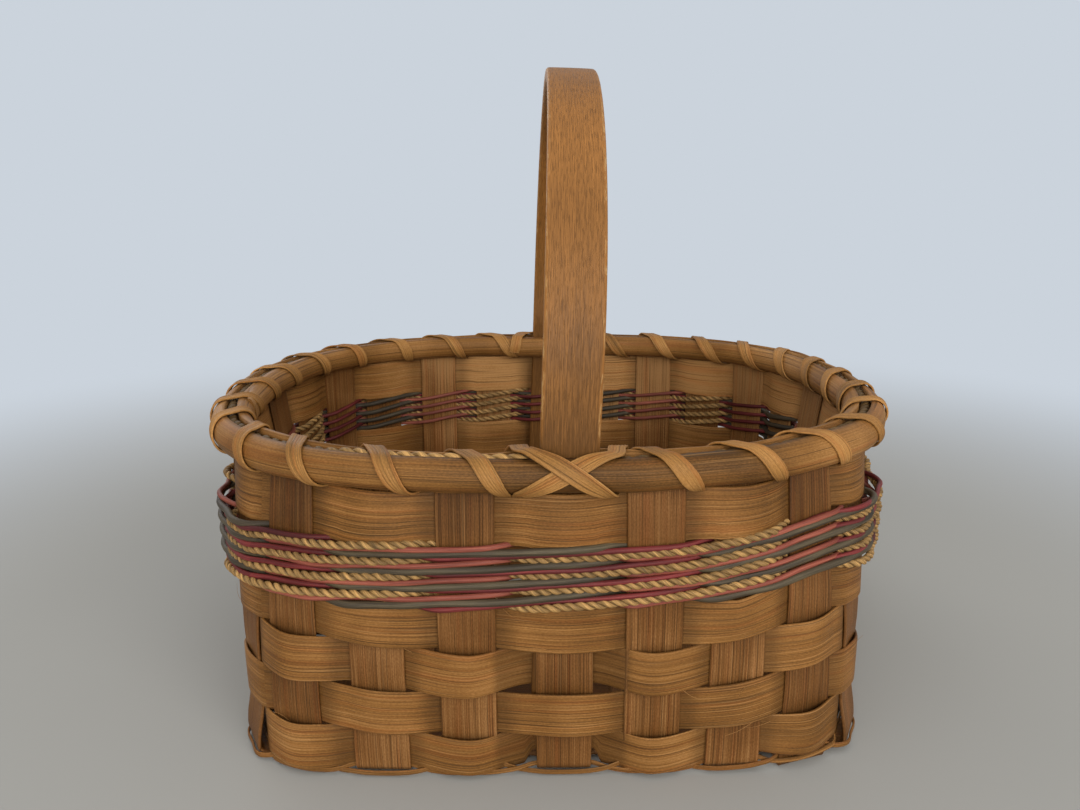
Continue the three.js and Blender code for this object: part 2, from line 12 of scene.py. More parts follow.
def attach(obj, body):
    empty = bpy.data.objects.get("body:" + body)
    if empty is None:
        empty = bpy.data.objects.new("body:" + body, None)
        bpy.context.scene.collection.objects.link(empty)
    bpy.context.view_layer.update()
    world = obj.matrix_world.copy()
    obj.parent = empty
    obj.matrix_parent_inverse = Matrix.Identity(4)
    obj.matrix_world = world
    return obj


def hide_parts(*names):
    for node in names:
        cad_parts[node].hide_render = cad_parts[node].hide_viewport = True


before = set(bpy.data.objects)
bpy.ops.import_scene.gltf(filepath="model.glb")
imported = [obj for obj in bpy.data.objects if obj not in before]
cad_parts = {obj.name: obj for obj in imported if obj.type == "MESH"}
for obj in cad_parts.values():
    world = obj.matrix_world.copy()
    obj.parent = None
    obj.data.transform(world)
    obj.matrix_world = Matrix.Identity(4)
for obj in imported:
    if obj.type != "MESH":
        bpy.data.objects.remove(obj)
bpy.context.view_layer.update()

bl_info = {
    "name": "Splint gathering basket",
    "version": (1, 0, 0),
    "blender": (4, 5, 0),
    "location": "3D View > Sidebar > Basket",
    "description": "Weaves a splint basket with a waled band, a lashed rim and a hoop handle",
    "category": "Add Mesh",
}

mm = 0.001
UP = np.array([0, 0, 1.0])

# The uprights are numbered from 1 to 28 counter-clockwise from above: 1 to 7 along the front
# (-Y), 8 to 14 on the right, 15 to 21 along the back and 22 to 28 on the left. A place s on the
# wall is counted in uprights too, so 4.5 is half-way from upright 4 to upright 5
PER_SIDE = 7
UPRIGHTS = 4 * PER_SIDE
FRONT_CENTRE = 4
BACK_CENTRE = FRONT_CENTRE + 2 * PER_SIDE
LOWER_ROWS = 4
WALE_ROWS = 4
STRANDS = 4
PLIES = 2

# Gap kept between pieces that pass each other, and between a row and what it presses on
CLEARANCE = 0.3 * mm
TOUCH = 0.1 * mm

# What the woven rows are wider than their stock, and the room for the top row's above its stock
LOWER_ROW_EXTRA = 0.4 * mm
TOP_ROW_EXTRA = 1.9 * mm
RIM_ROOM = 2.5 * mm

# Power of the half-round hoops' section: 1 is a half circle and 0 a rectangle
HALF_ROUND = 0.85

# Power of the plan curves: 2 is an ellipse and a large power a rectangle
FOOT_SQUARENESS = 6
MOUTH_SQUARENESS = 2.45

# How far each stake that runs from front to back stands right of its even place
STAKE_SHIFTS = [x * mm for x in (-0.2, -0.2, 0.8, 4.1, 4.5, 3.3, -0.9)]

# How far along the rim, in uprights, each turn of the lashing comes over the top past its upright
LASHING_SHIFTS = [
    0.06, 0.08, 0.08, 0, 0, 0, 0.08, 0.12, 0.28, 0.34, 0.34, 0.3, 0.25, 0.2,
    0.1, 0.08, 0.05, 0, 0.08, -0.05, -0.18, -0.18, -0.12, -0.04, 0.05, 0.15, 0.06, 0.1,
]

# Where the lower rows ride up at the two front corners, how far, and how many uprights to each
# side it dies out. Over that threshold the row under the band rides up more than the others
LEFT_RISE = (0.75, 3.8 * mm)
RIGHT_RISE = (7.25, 7.0 * mm)
RISE_REACH = 2.2
RISE_THRESHOLD = 2.5 * mm

# The upper wall stands higher than an even weave, and higher still from the right end to the back
UPPER_RISE = 1.5 * mm
BACK_RIGHT = BACK_CENTRE - 3
BACK_RIGHT_RISE = 1.7 * mm

# The coloured band is narrower at the back and wider near the left front
BAND_SQUEEZE = 1.7 * mm
SPREAD_PLACE = 2.2
BAND_SPREAD = 1.3 * mm

# The rope in the rim lies proud of the hoops near this place
PROUD_PLACE = 2.8

# Points that a splint row and a strand of the band have to each upright
ROW_STEPS = 44
STRAND_STEPS = 40

# First seed of the random draws of each kind of piece
SEEDS = {"stakes": 100, "rows": 300, "waling": 500, "hoops": 700, "filler": 740, "lashing": 800,
         "handle": 31, "fibres": 77}

# Even room light, a window to the right in front, a lamp in front, one overhead and a weak one
# behind: each lamp's place, size, power and tint
WARM = (1.0, 0.98, 0.95)
COOL = (0.98, 0.985, 1.0)
ROOM_STRENGTH = 0.55
LAMP_TARGET = (0, 0, 0.12)
LAMPS = {
    "window": ((0.95, -1.35, 0.85), 1.0, 12, WARM),
    "ceiling": ((-0.2, -0.5, 1.6), 1.4, 3, COOL),
    "front": ((-0.15, -1.45, 0.55), 0.9, 12, WARM),
    "behind": ((-0.9, 1.3, 0.8), 1.2, 5, COOL),
}
FLOOR_HALF = 6.0

# The camera that the photograph's frame was matched with
PHOTO_WIDTH = 1080
FOCAL_PIXELS = 860
SENSOR_WIDTH = 36
CAMERA_PLACE = Vector((-7.65, -425.5, 231.9)) * mm
CAMERA_PITCH, CAMERA_YAW, CAMERA_ROLL = (math.radians(a) for a in (14.42, 0.54, -0.3))


def stain(red, green, blue):
    """A stain's colour, from its value on a screen to the linear value that a shader takes."""
    linear = []
    for part in (red, green, blue):
        share = part / 255
        linear.append(share / 12.92 if share <= 0.04045 else ((share + 0.055) / 1.055) ** 2.4)
    return tuple(linear)


def stained(context, name):
    """The colour that the user has set for a finish."""
    return tuple(getattr(context.scene.basket_stains, name))


def length(name, description, size):
    return bpy.props.FloatProperty(
        name=name, description=description, default=size * mm, unit="LENGTH", precision=4
    )


def colour(name, description, red, green, blue):
    return bpy.props.FloatVectorProperty(
        name=name, description=description, default=stain(red, green, blue),
        subtype="COLOR", size=3, min=0, max=1,
    )


class SplintSizes(bpy.types.PropertyGroup):
    stake_width: length("Stake width", "Width of the splints that stand up", 22.2)
    stake_thickness: length("Stake thickness", "Thickness of the splints that stand up", 1.3)
    weaver_width: length("Weaver width", "Width of the splints woven round the wall", 18.6)
    weaver_thickness: length("Weaver thickness", "Thickness of the woven splints", 1.3)
    row_gap: length("Row gap", "Height left between two woven rows", 0.6)
    swell: length("Swell", "How far a weaver bows out over the middle of a stake", 2.3)


class WallSizes(bpy.types.PropertyGroup):
    base_pitch: length("Base pitch", "Distance between stakes in the base", 34.3)
    corner_room: length("Corner room", "From the last stake's middle to the wall's corner", 21.7)
    foot_reach: length("Foot reach", "Half the length of the foot between its rounded ends", 132)
    rim_pitch: length("Rim pitch", "Distance between front stakes at the rim", 33.6)
    mouth_reach: length("Mouth reach", "Half the length of the mouth", 150)
    side_flare: length("Side flare", "How far the front and back overhang the base", 1.4)
    belly: length("Belly", "How far the wall bows out between the base and the rim", 2.8)
    bend_radius: length("Bend radius", "Radius of the turn from the base to the wall", 2.5)
    foot_gap: length("Foot gap", "Height of the first row above the floor", 0.3)


class BandSizes(bpy.types.PropertyGroup):
    pitch: length("Waling pitch", "Height of one row of waling", 5.75)
    thin_reed: length("Thin reed", "Diameter of the burgundy and the pink reeds", 2.2)
    thick_reed: length("Thick reed", "Diameter of the olive reed", 2.9)
    rope: length("Seagrass rope", "Diameter of the twisted seagrass", 3.3)
    rope_lay: length("Rope lay", "Length of one full twist of the seagrass", 8.4)
    looseness: length("Looseness", "How far the waling stands off the ends of the oval", 5.0)


class RimSizes(bpy.types.PropertyGroup):
    height: length("Rim height", "Height of the half-round hoops", 12.7)
    thickness: length("Rim thickness", "Depth of each half-round hoop", 6.3)
    row_height: length("Rim row height", "Width of the splint row between the hoops", 7.2)
    filler: length("Filler", "Diameter of the rope laid between the hoops", 4.5)
    filler_lay: length("Filler lay", "Length of one full twist of that rope", 12)
    lashing_width: length("Lashing width", "Width of the lashing splint", 6.8)
    lashing_thickness: length("Lashing thickness", "Thickness of the lashing splint", 0.9)


class HandleSizes(bpy.types.PropertyGroup):
    width: length("Handle width", "Width of the bent hoop", 22.2)
    leg_thickness: length("Leg thickness", "Thickness of the hoop inside the wall", 4.2)
    grip_thickness: length("Grip thickness", "Thickness of the hoop above the rim", 5.8)
    top: length("Handle top", "Height of the top of the hoop", 283)
    foot_x: length("Handle foot", "How far right of the middle the hoop's line meets the base", 0.8)
    foot_step: length("Foot step", "How far the hoop's foot is pushed right of that line", 3.0)
    lean: bpy.props.FloatProperty(
        name="Handle lean", description="How far the hoop leans to the right",
        default=math.radians(2.2), unit="ROTATION",
    )
    turn: bpy.props.FloatProperty(
        name="Handle turn", description="How far the hoop is turned clockwise, seen from above",
        default=math.radians(-0.45), unit="ROTATION",
    )


class Stains(bpy.types.PropertyGroup):
    weaver: colour("Weaver stain", "Middle tone of the woven splints", 130, 88, 42)
    stake: colour("Stake stain", "Middle tone of the uprights", 111, 72, 34)
    rim: colour("Rim stain", "Middle tone of the half-round hoops", 130, 89, 43)
    lashing: colour("Lashing stain", "Middle tone of the lashing", 153, 109, 57)
    handle: colour("Handle stain", "Middle tone of the hardwood hoop", 144, 97, 48)
    seagrass: colour("Seagrass", "Middle tone of the twisted seagrass", 158, 122, 72)
    olive: colour("Olive reed", "Dye of the grey-green reed", 66, 56, 42)
    burgundy: colour("Burgundy reed", "Dye of the dark red reed", 92, 32, 31)
    pink: colour("Pink reed", "Dye of the dusty pink reed", 128, 64, 50)
    floor: colour("Floor", "Colour of the paper floor", 166, 165, 160)
    backdrop: colour("Backdrop", "Colour of the paper behind the basket", 203, 211, 220)


class Weave:
    """The basket's shape: where the wall, its rows and its uprights are."""

    def __init__(self, scene):
        splint, wall, band = scene.basket_splint, scene.basket_wall, scene.basket_band
        rim, handle = scene.basket_rim, scene.basket_handle
        self.splint, self.wall, self.band, self.rim, self.handle = splint, wall, band, rim, handle
        self.base_half = (FRONT_CENTRE - 1) * wall.base_pitch + wall.corner_room
        self.row_pitch = splint.weaver_width + splint.row_gap
        self.wale_bottom = wall.foot_gap + LOWER_ROWS * self.row_pitch
        self.top_row_bottom = self.wale_bottom + WALE_ROWS * band.pitch
        self.rim_bottom = self.top_row_bottom + splint.weaver_width + RIM_ROOM
        self.rim_top = self.rim_bottom + rim.height
        self.stake_top = self.rim_bottom + rim.row_height + splint.row_gap
        self.woven = (splint.stake_thickness + splint.weaver_thickness) / 2
        self.rim_face = self.woven + splint.weaver_thickness / 2 + 0.7 * mm
        self.handle_face = splint.stake_thickness / 2 + CLEARANCE
        self.handle_turn = 2 * (self.base_half + wall.side_flare) * math.tan(handle.turn)
        self.pass_half = splint.stake_width / 2 + CLEARANCE
        half = self.base_half
        self.foot = self.loop(wall.foot_reach, half, FOOT_SQUARENESS, wall.base_pitch, False)
        mouth = (wall.mouth_reach, half + wall.side_flare)
        self.mouth = self.loop(*mouth, MOUTH_SQUARENESS, wall.rim_pitch, True)
        self.shifts = np.zeros(UPRIGHTS + 1)
        for i, shift in enumerate(STAKE_SHIFTS):
            self.shifts[[1 + i, 3 * PER_SIDE - i]] = shift

    def loop(self, half_x, half_y, squareness, pitch, even):
        """Plan curve as tables of x and y against uprights counted from the front centre. Past
        the last front upright they keep their pitch along y, or an even distance round."""
        angle = np.linspace(0, math.pi / 2, 4001)
        x = half_x * np.sin(angle) ** (2 / squareness)
        y = -half_y * np.cos(angle) ** (2 / squareness)
        run = np.concatenate([[0], np.cumsum(np.hypot(np.diff(x), np.diff(y)))])
        last = (PER_SIDE - 1) // 2
        places = np.arange(last, PER_SIDE + 1)
        runs = np.interp((places - PER_SIDE) * pitch, y, run)
        runs[0] = np.interp(last * pitch, x, run)
        if even:
            runs = np.linspace(runs[0], run[-1], len(places))
        turn = np.linspace(0, UPRIGHTS, 100 * UPRIGHTS + 1)
        q = PER_SIDE - np.abs(turn % (2 * PER_SIDE) - PER_SIDE)
        reach = np.interp(q, places, runs)
        ratio = np.minimum(q * pitch / half_x, 1)
        front = -half_y * (1 - ratio**squareness) ** (1 / squareness)
        px = np.where(q <= last, q * pitch, np.interp(reach, run, x))
        py = np.where(q <= last, front, np.interp(reach, run, y))
        right = turn < 2 * PER_SIDE
        front_half = (turn < PER_SIDE) | (turn > 3 * PER_SIDE)
        return turn, np.where(right, px, -px), np.where(front_half, py, -py)

    def shift(self, s):
        """How far the wall at place s moves along x with its uneven stakes."""
        low = np.floor(s)
        before = (low.astype(int) - 1) % UPRIGHTS + 1
        after = before % UPRIGHTS + 1
        share = smooth(s - low, 0.3, 0.7)
        return self.shifts[before] * (1 - share) + self.shifts[after] * share

    def plan(self, s, z):
        """x and y of the middle of the wall at place s and height z."""
        turn = (np.asarray(s, float) - FRONT_CENTRE) % UPRIGHTS
        rise = np.maximum(np.asarray(z, float), 0) / self.rim_top
        low_x, low_y = (np.interp(turn, self.foot[0], part) for part in self.foot[1:])
        top_x, top_y = (np.interp(turn, self.mouth[0], part) for part in self.mouth[1:])
        x = low_x + (top_x - low_x) * rise**1.6 + self.shift(s)
        y = low_y + (top_y - low_y) * rise
        return np.stack(np.broadcast_arrays(x, y), axis=-1)

    def bow(self, z):
        rise = np.clip(np.asarray(z, float) / self.rim_top, 0, 1)
        return self.wall.belly * 4 * rise * (1 - rise)

    def pitch(self, s, z):
        gap = self.plan(s + 0.5, z) - self.plan(s - 0.5, z)
        return np.hypot(gap[..., 0], gap[..., 1])

    def lift(self, s, left=1.0, right=1.0):
        """How far the lower rows ride up at place s, with a share for each corner."""
        return sum(
            share * rise * near(away_from(s, place), 0, RISE_REACH)
            for (place, rise), share in ((LEFT_RISE, left), (RIGHT_RISE, right))
        )

    def squeeze(self, s):
        """Height that the band gives up above and below, up to 8 uprights from the back."""
        return BAND_SQUEEZE * near(away_from(s, BACK_CENTRE), 4, 8)

    def last_row_top(self, s):
        """How far the row under the band rides up with its upper edge."""
        return 1.4 * np.maximum(self.lift(s) - RISE_THRESHOLD, 0) + self.squeeze(s)

    def first_row_foot(self, s):
        """How far the row over the band rides up with its lower edge."""
        return self.lift(s, 0, 0.5) - self.squeeze(s)

    def band_edges(self, s):
        """Heights between which the band has room."""
        low = self.wale_bottom - self.splint.row_gap + LOWER_ROW_EXTRA
        return low + self.last_row_top(s), self.top_row_bottom + self.first_row_foot(s)

    def risen(self, s, z):
        """Height z made uneven: the wall stands higher from 55 mm up."""
        rise = UPPER_RISE + BACK_RIGHT_RISE * near(away_from(s, BACK_RIGHT), 6.5, 12)
        return z + rise * smooth(z, 55 * mm, 122 * mm)

    def along(self, s, z, step=0.3):
        """Direction of the wall in plan at place s."""
        return unit(self.plan(s + step, z) - self.plan(s - step, z))

    def stood_off(self, s, z, plan, heading, offset):
        """The point that stands off the plan by an offset, with its height."""
        out = np.stack([heading[..., 1], -heading[..., 0]], axis=-1)
        plan = plan + out * (offset + self.bow(z))[..., None]
        return np.concatenate([plan, self.risen(s, z)[..., None]], axis=-1)

    def at(self, s, z, offset):
        """Point on the wall: flat at each upright, rounded between two of them."""
        s, z, offset = np.broadcast_arrays(*[np.asarray(v, float) for v in (s, z, offset)])
        place = (s - 0.5) % UPRIGHTS + 0.5
        k = np.floor(place + 0.5)
        across = (place - k) * self.pitch(k, z)
        before = np.where(place > k, k, k - 1)
        after = before + 1
        width = self.pass_half
        start = width / self.pitch(before, z)
        end = 1 - width / self.pitch(after, z)
        share = np.clip((place - before - start) / (end - start), 0, 1)[..., None]
        from_dir, to_dir = self.along(before, z), self.along(after, z)
        a = self.plan(before, z) + from_dir * width
        b = self.plan(after, z) - to_dir * width
        turn = np.arccos(np.clip((from_dir * to_dir).sum(-1, keepdims=True), -1, 1))
        # A sharper turn takes a fuller curve
        pull = np.linalg.norm(b - a, axis=-1, keepdims=True) * (1 + 0.11 * turn)
        rounded = curve(share, a, b, from_dir * pull, to_dir * pull)
        own_dir = self.along(k, z)
        flat = self.plan(k, z) + own_dir * across[..., None]
        on_stake = (np.abs(across) <= width)[..., None]
        ease = share * share * (3 - 2 * share)
        heading = unit(np.where(on_stake, own_dir, from_dir * (1 - ease) + to_dir * ease))
        return self.stood_off(s, z, np.where(on_stake, flat, rounded), heading, offset)

    def hoop_at(self, s, z, offset):
        """Point beside the smooth oval that stiff rim pieces follow."""
        s, z, offset = np.broadcast_arrays(*[np.asarray(v, float) for v in (s, z, offset)])
        fair = sum(self.plan(s + d, z) for d in (-0.4, -0.2, 0, 0.2, 0.4)) / 5
        return self.stood_off(s, z, fair, self.along(s, z, 0.6), offset)

    def handle_x(self, z):
        step = self.handle.foot_step * near(z, 8 * mm, 28 * mm)
        return self.handle.foot_x + step + z * math.tan(self.handle.lean)

    def handle_drift(self, k, z):
        """How far the handle's middle is along the wall from the middle of its upright."""
        if k not in (FRONT_CENTRE, BACK_CENTRE):
            return 0.0
        back = k == BACK_CENTRE
        drift = self.handle_x(z) - STAKE_SHIFTS[FRONT_CENTRE - 1] + back * self.handle_turn
        return -drift if back else drift

    def handle_edges(self, k):
        """Places of the handle's two edges beside upright k, at the rim."""
        drift, half = self.handle_drift(k, self.rim_top), self.handle.width / 2
        pitch = self.wall.rim_pitch
        return k + (drift - half) / pitch, k + (drift + half) / pitch


def unit(vectors):
    return vectors / np.linalg.norm(vectors, axis=-1, keepdims=True)


def smooth(value, low, high):
    """0 up to low, 1 from high and a smooth step between them."""
    share = np.clip((np.asarray(value, float) - low) / (high - low), 0, 1)
    return share * share * (3 - 2 * share)


def near(value, low, high):
    """1 up to low, 0 from high and a smooth step between them."""
    return 1 - smooth(value, low, high)


def curve(t, start, end, start_slope=0.0, end_slope=0.0):
    """Curve from start to end as t runs from 0 to 1, with its slope at each of them."""
    return (
        start * (1 + 2 * t) * (1 - t) ** 2 + end * t**2 * (3 - 2 * t)
        + start_slope * t * (1 - t) ** 2 + end_slope * t**2 * (t - 1)
    )


def away_from(s, place):
    """Distance in uprights from one place to another, the shorter way round."""
    return np.abs((s - place + UPRIGHTS / 2) % UPRIGHTS - UPRIGHTS / 2)


def near_corner(s):
    """1 beside a corner of the base and 0 at the middle of a side."""
    place = (np.asarray(s, float) - 0.5) % PER_SIDE
    return near(np.minimum(place, PER_SIDE - place), 0.6, 1.9)


def at_end(k):
    """Whether upright k is on the right or the left side of the base."""
    return (k - 1) // PER_SIDE % 2 == 1


def painted_light_and_shade(points, face):
    """Painted light and shade added to a splint's tone: its inner face is painted paler near the
    rim, less so at the left end, and its outer face is painted darker under the rim's overhang, as
    the rim's shadow."""
    x, z = points[..., 0], points[..., 2]
    inner = 0.26 * smooth(z, 55 * mm, 110 * mm) * smooth(x, -120 * mm, -40 * mm)
    return np.where(face < 0, inner, -0.09 * smooth(z, 92 * mm, 112 * mm))


def wander(turn, seed, waves, size):
    """Smooth chance unevenness along a piece; turn runs from 0 to 1 and the ends meet."""
    dice = random.Random(seed)
    total = 0
    for _ in range(5):
        count = max(1, round(waves * dice.uniform(0.4, 1.7)))
        total = total + np.sin(2 * math.pi * (count * turn + dice.random()))
    # The sum of five waves seldom passes 2.2
    return size * total / 2.2


def through_keys(s, keys, values):
    """Smooth curve round the basket through keys, which are places, and their values."""
    order = np.argsort(keys)
    keys, values = np.asarray(keys)[order], np.asarray(values)[order]
    keys = np.concatenate([keys[-2:] - UPRIGHTS, keys, keys[:2] + UPRIGHTS])
    values = np.concatenate([values[-2:], values, values[:2]])
    slope = np.gradient(values, keys)
    place = (s - keys[2]) % UPRIGHTS + keys[2]
    i = np.clip(np.searchsorted(keys, place, side="right") - 1, 0, len(keys) - 2)
    gap = keys[i + 1] - keys[i]
    share = (place - keys[i]) / gap
    return curve(share, values[i], values[i + 1], gap * slope[i], gap * slope[i + 1])


def row_places(steps):
    """Places round the basket with so many steps to each upright."""
    return 0.5 + np.arange(UPRIGHTS * steps) / steps


# Shells: rings of points joined into one skin, with a strip coordinate for the grain


def shell(points, along, around, tone=0.0, crease=0.0, ring=False):
    """One skin: points is (rings, points in a ring, 3); along and around are its strip lengths."""
    rings, sides = points.shape[:2]
    spans = rings if ring else rings - 1
    i, j = (part.reshape(-1) for part in np.meshgrid(
        np.arange(spans), np.arange(sides), indexing="ij"
    ))
    i2, j2 = (i + 1) % rings, (j + 1) % sides
    corners = np.stack([i * sides + j, i2 * sides + j, i2 * sides + j2, i * sides + j2], axis=1)
    along, around = np.asarray(along), np.asarray(around)
    u = np.stack([along[i], along[i + 1], along[i + 1], along[i]], axis=1)
    last = around[j + 1] if len(around) > sides else around[j2]
    v = np.stack([around[j], around[j], last, last], axis=1)
    faces = [corners.reshape(-1)]
    lengths = [np.full(len(corners), 4)]
    strip = [np.stack([u, v], axis=-1).reshape(-1, 2)]
    if not ring:
        side = np.arange(sides)
        for start, end in ((side[::-1], 0), (side + (rings - 1) * sides, rings - 1)):
            faces.append(start)
            lengths.append(np.array([sides]))
            strip.append(np.stack([np.full(sides, along[end]), around[start % sides]], axis=-1))
    flat = points.reshape(-1, 3)
    a, b, c = (flat[corners[:, n]] for n in (0, 1, 2))
    if np.einsum("ij,ij->i", a, np.cross(b, c)).sum() < 0:
        faces, strip = turned(faces, lengths, strip)
    spread = [np.broadcast_to(np.asarray(v, float), (rings, sides)).reshape(-1)
              for v in (tone, crease)]
    return {"points": flat, "faces": np.concatenate(faces), "lengths": np.concatenate(lengths),
            "strip": np.concatenate(strip), "tone": spread[0], "crease": spread[1]}


def turned(faces, lengths, strip):
    """The same faces with their corners in the opposite order."""
    faces = [f.reshape(len(n), -1)[:, ::-1].reshape(-1) for f, n in zip(faces, lengths)]
    strip = [s.reshape(len(n), -1, 2)[:, ::-1].reshape(-1, 2) for s, n in zip(strip, lengths)]
    return faces, strip


def make_piece(name, shells, finish, nodes):
    """A mesh object made of shells, which stands for CAD nodes and rides on the basket."""
    mesh = bpy.data.meshes.new(name)
    starts = np.cumsum([0] + [len(s["points"]) for s in shells[:-1]])
    points = np.concatenate([s["points"] for s in shells])
    faces = np.concatenate([s["faces"] + n for s, n in zip(shells, starts)])
    lengths = np.concatenate([s["lengths"] for s in shells])
    mesh.vertices.add(len(points))
    mesh.vertices.foreach_set("co", points.astype(np.float32).reshape(-1))
    mesh.loops.add(len(faces))
    mesh.loops.foreach_set("vertex_index", faces.astype(np.int32))
    mesh.polygons.add(len(lengths))
    mesh.polygons.foreach_set("loop_start", (np.cumsum(lengths) - lengths).astype(np.int32))
    mesh.update(calc_edges=True)
    mesh.shade_smooth()
    strip = mesh.uv_layers.new(name="strip")
    uv = np.concatenate([s["strip"] for s in shells]).astype(np.float32)
    strip.data.foreach_set("uv", uv.reshape(-1))
    for label in ("tone", "crease"):
        values = np.concatenate([s[label] for s in shells]).astype(np.float32)
        mesh.attributes.new(label, "FLOAT", "POINT").data.foreach_set("value", values)
    mesh.materials.append(finish)
    piece = bpy.data.objects.new(name, mesh)
    bpy.context.scene.collection.objects.link(piece)
    if nodes:
        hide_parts(*nodes)
    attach(piece, "root")


def splint_profile(width, thickness, across=10):
    """Flat splint's section with rounded edges, as (across, out) pairs."""
    radius = 0.48 * thickness
    flat = width / 2 - radius
    face = np.linspace(flat, -flat, across)
    bend = np.linspace(math.pi / 2, 3 * math.pi / 2, 7)[1:-1]
    left = np.stack([-flat + radius * np.cos(bend), thickness / 2 * np.sin(bend)], axis=1)
    top = np.stack([face, np.full(across, thickness / 2)], axis=1)
    return np.concatenate([top, left, top[::-1] * (1, -1), -left])


def widened(profile, widths):
    """A section for each point of a path, with its own share of the width."""
    return profile[None] * np.stack([widths, np.ones_like(widths)], axis=-1)[:, None]


def round_section(sides, sizes, wide=1.0, high=1.0):
    """A circle for each size in sizes, made wider or flatter."""
    angle = np.arange(sides) * 2 * math.pi / sides
    profile = np.stack([wide * np.cos(angle), high * np.sin(angle)], axis=-1)
    return profile[None] * sizes[:, None, None]


def girth(sides, radius):
    """Length round a circle at each of its corners, back to the first."""
    return np.arange(sides + 1) * 2 * math.pi * radius / sides


def sweep(centre, side, out, profile):
    """Rings of points from a path, the two directions of its section and the section itself."""
    return (
        centre[:, None] + side[:, None] * profile[..., 0:1] + out[:, None] * profile[..., 1:2]
    )


def path_lengths(centre, ring=False):
    """Length along a path at each of its points, and at the closing point of a ring."""
    closed = np.concatenate([centre, centre[:1]]) if ring else centre
    return np.concatenate([[0], np.cumsum(np.linalg.norm(np.diff(closed, axis=0), axis=1))])


def heading_of(centre, ring=False):
    if ring:
        return unit(np.roll(centre, -1, axis=0) - np.roll(centre, 1, axis=0))
    return unit(np.gradient(centre, axis=0))


def frame_of(centre, ring=False):
    """Outward and upward directions of a level path's section."""
    heading = heading_of(centre, ring)
    out = unit(np.cross(heading, UP))
    return out, np.cross(out, heading)


def eased(path, rounds):
    """A closed path with its corners rounded off."""
    for _ in range(rounds):
        path = (np.roll(path, 1, axis=0) + 2 * path + np.roll(path, -1, axis=0)) / 4
    return path


def cut_from(dice, run, around):
    """Strip lengths that start at a chance place, so that no two pieces show the same grain."""
    return run + dice.uniform(0, 5), around + dice.uniform(0, 2)


# Uprights: each splint runs down one wall, across the plaited base and up the opposite wall


def foot_kick(k):
    """How far upright k's foot stands out past the wall: only on the right and the left side,
    and most beside a corner."""
    return at_end(k) * (0.5 + 2.7 * float(near_corner(k))) * mm


def wall_run(weave, k, foot_z):
    """Path down upright k from its top to just above the base, its side direction, and how much
    of it the rows hide."""
    z = np.linspace(weave.stake_top, foot_z + weave.wall.bend_radius, 90)
    place = np.full(len(z), float(k))
    row = (z - weave.lift(float(k)) - weave.wall.foot_gap) / weave.row_pitch - 0.5
    lower = near(z, weave.wale_bottom - 4 * mm, weave.wale_bottom + 6 * mm)
    outside = 1 if k % 2 == 1 else -1
    sway = -outside * 0.3 * mm * np.cos(math.pi * row) * lower
    centre = weave.at(place, z, sway + foot_kick(k) * near(z, 3 * mm, 24 * mm))
    side = np.concatenate([weave.along(place, z), np.zeros((len(z), 1))], axis=1)
    tucked = 0.5 + 0.5 * np.cos(math.pi * row) * outside
    return centre, side, smooth(tucked, 0.25, 0.75) * lower


def stake_path(weave, strip):
    """Path of a whole strip, its side and outward directions, and how much of it is hidden."""
    radius, thickness = weave.wall.bend_radius, weave.splint.stake_thickness
    low, lift = thickness / 2, thickness + CLEARANCE
    along_dir, side_dir = strip["along"], strip["side"]
    high = np.array([strip["high"][0], *strip["high"], strip["high"][-1]], float)
    first_z, last_z = low + lift * high[0], low + lift * high[-1]
    first, first_side, first_hidden = wall_run(weave, strip["first"], first_z)
    last, last_side, last_hidden = (a[::-1] for a in wall_run(weave, strip["last"], last_z))
    ends = weave.plan(np.array([strip["first"], strip["last"]], float), 0) @ along_dir[:2]
    start = ends[0] - foot_kick(strip["first"]) + radius
    end = ends[1] + foot_kick(strip["last"]) - radius
    # Across the base it goes high over one strip of the other way and low under the next
    t = np.linspace(start, end, 260)
    knots = np.concatenate([[start], strip["places"], [end]])
    i = np.clip(np.searchsorted(knots, t, side="right") - 1, 0, len(knots) - 2)
    share = (t - knots[i]) / (knots[i + 1] - knots[i])
    ease = 0.5 - 0.5 * np.cos(math.pi * share)
    rise = high[i] * (1 - ease) + high[i + 1] * ease

    def place(a, height):
        return strip["spot"] + along_dir * a[:, None] + UP * height[:, None]

    turn = np.linspace(0, math.pi / 2, 8)[1:-1]
    first_fold = place(start - radius * np.cos(turn), first_z + radius - radius * np.sin(turn))
    last_fold = place(end + radius * np.sin(turn), last_z + radius - radius * np.cos(turn))
    centre = np.concatenate([first, first_fold, place(t, low + lift * rise), last_fold, last])
    # At a rounded corner the strip turns to face the wall as it reaches the fold
    from_first = near(t - start, 0, 30 * mm)[:, None]
    from_last = near(end - t, 0, 30 * mm)[:, None]
    flat = side_dir + (first_side[-1] - side_dir) * from_first
    flat = unit(flat - (last_side[0] + side_dir) * from_last)
    fold = (len(turn), 1)
    side = np.concatenate([
        first_side, np.tile(first_side[-1], fold), flat, np.tile(-last_side[0], fold), -last_side,
    ])
    folded = np.full(len(turn), 0.6)
    # How much of it is hidden sets its painted shade: the folds and the low parts of the base are
    # darker
    hidden = np.concatenate([first_hidden, folded, 0.35 * (1 - rise), folded, last_hidden])
    return centre, side, unit(np.cross(side, -heading_of(centre))), hidden


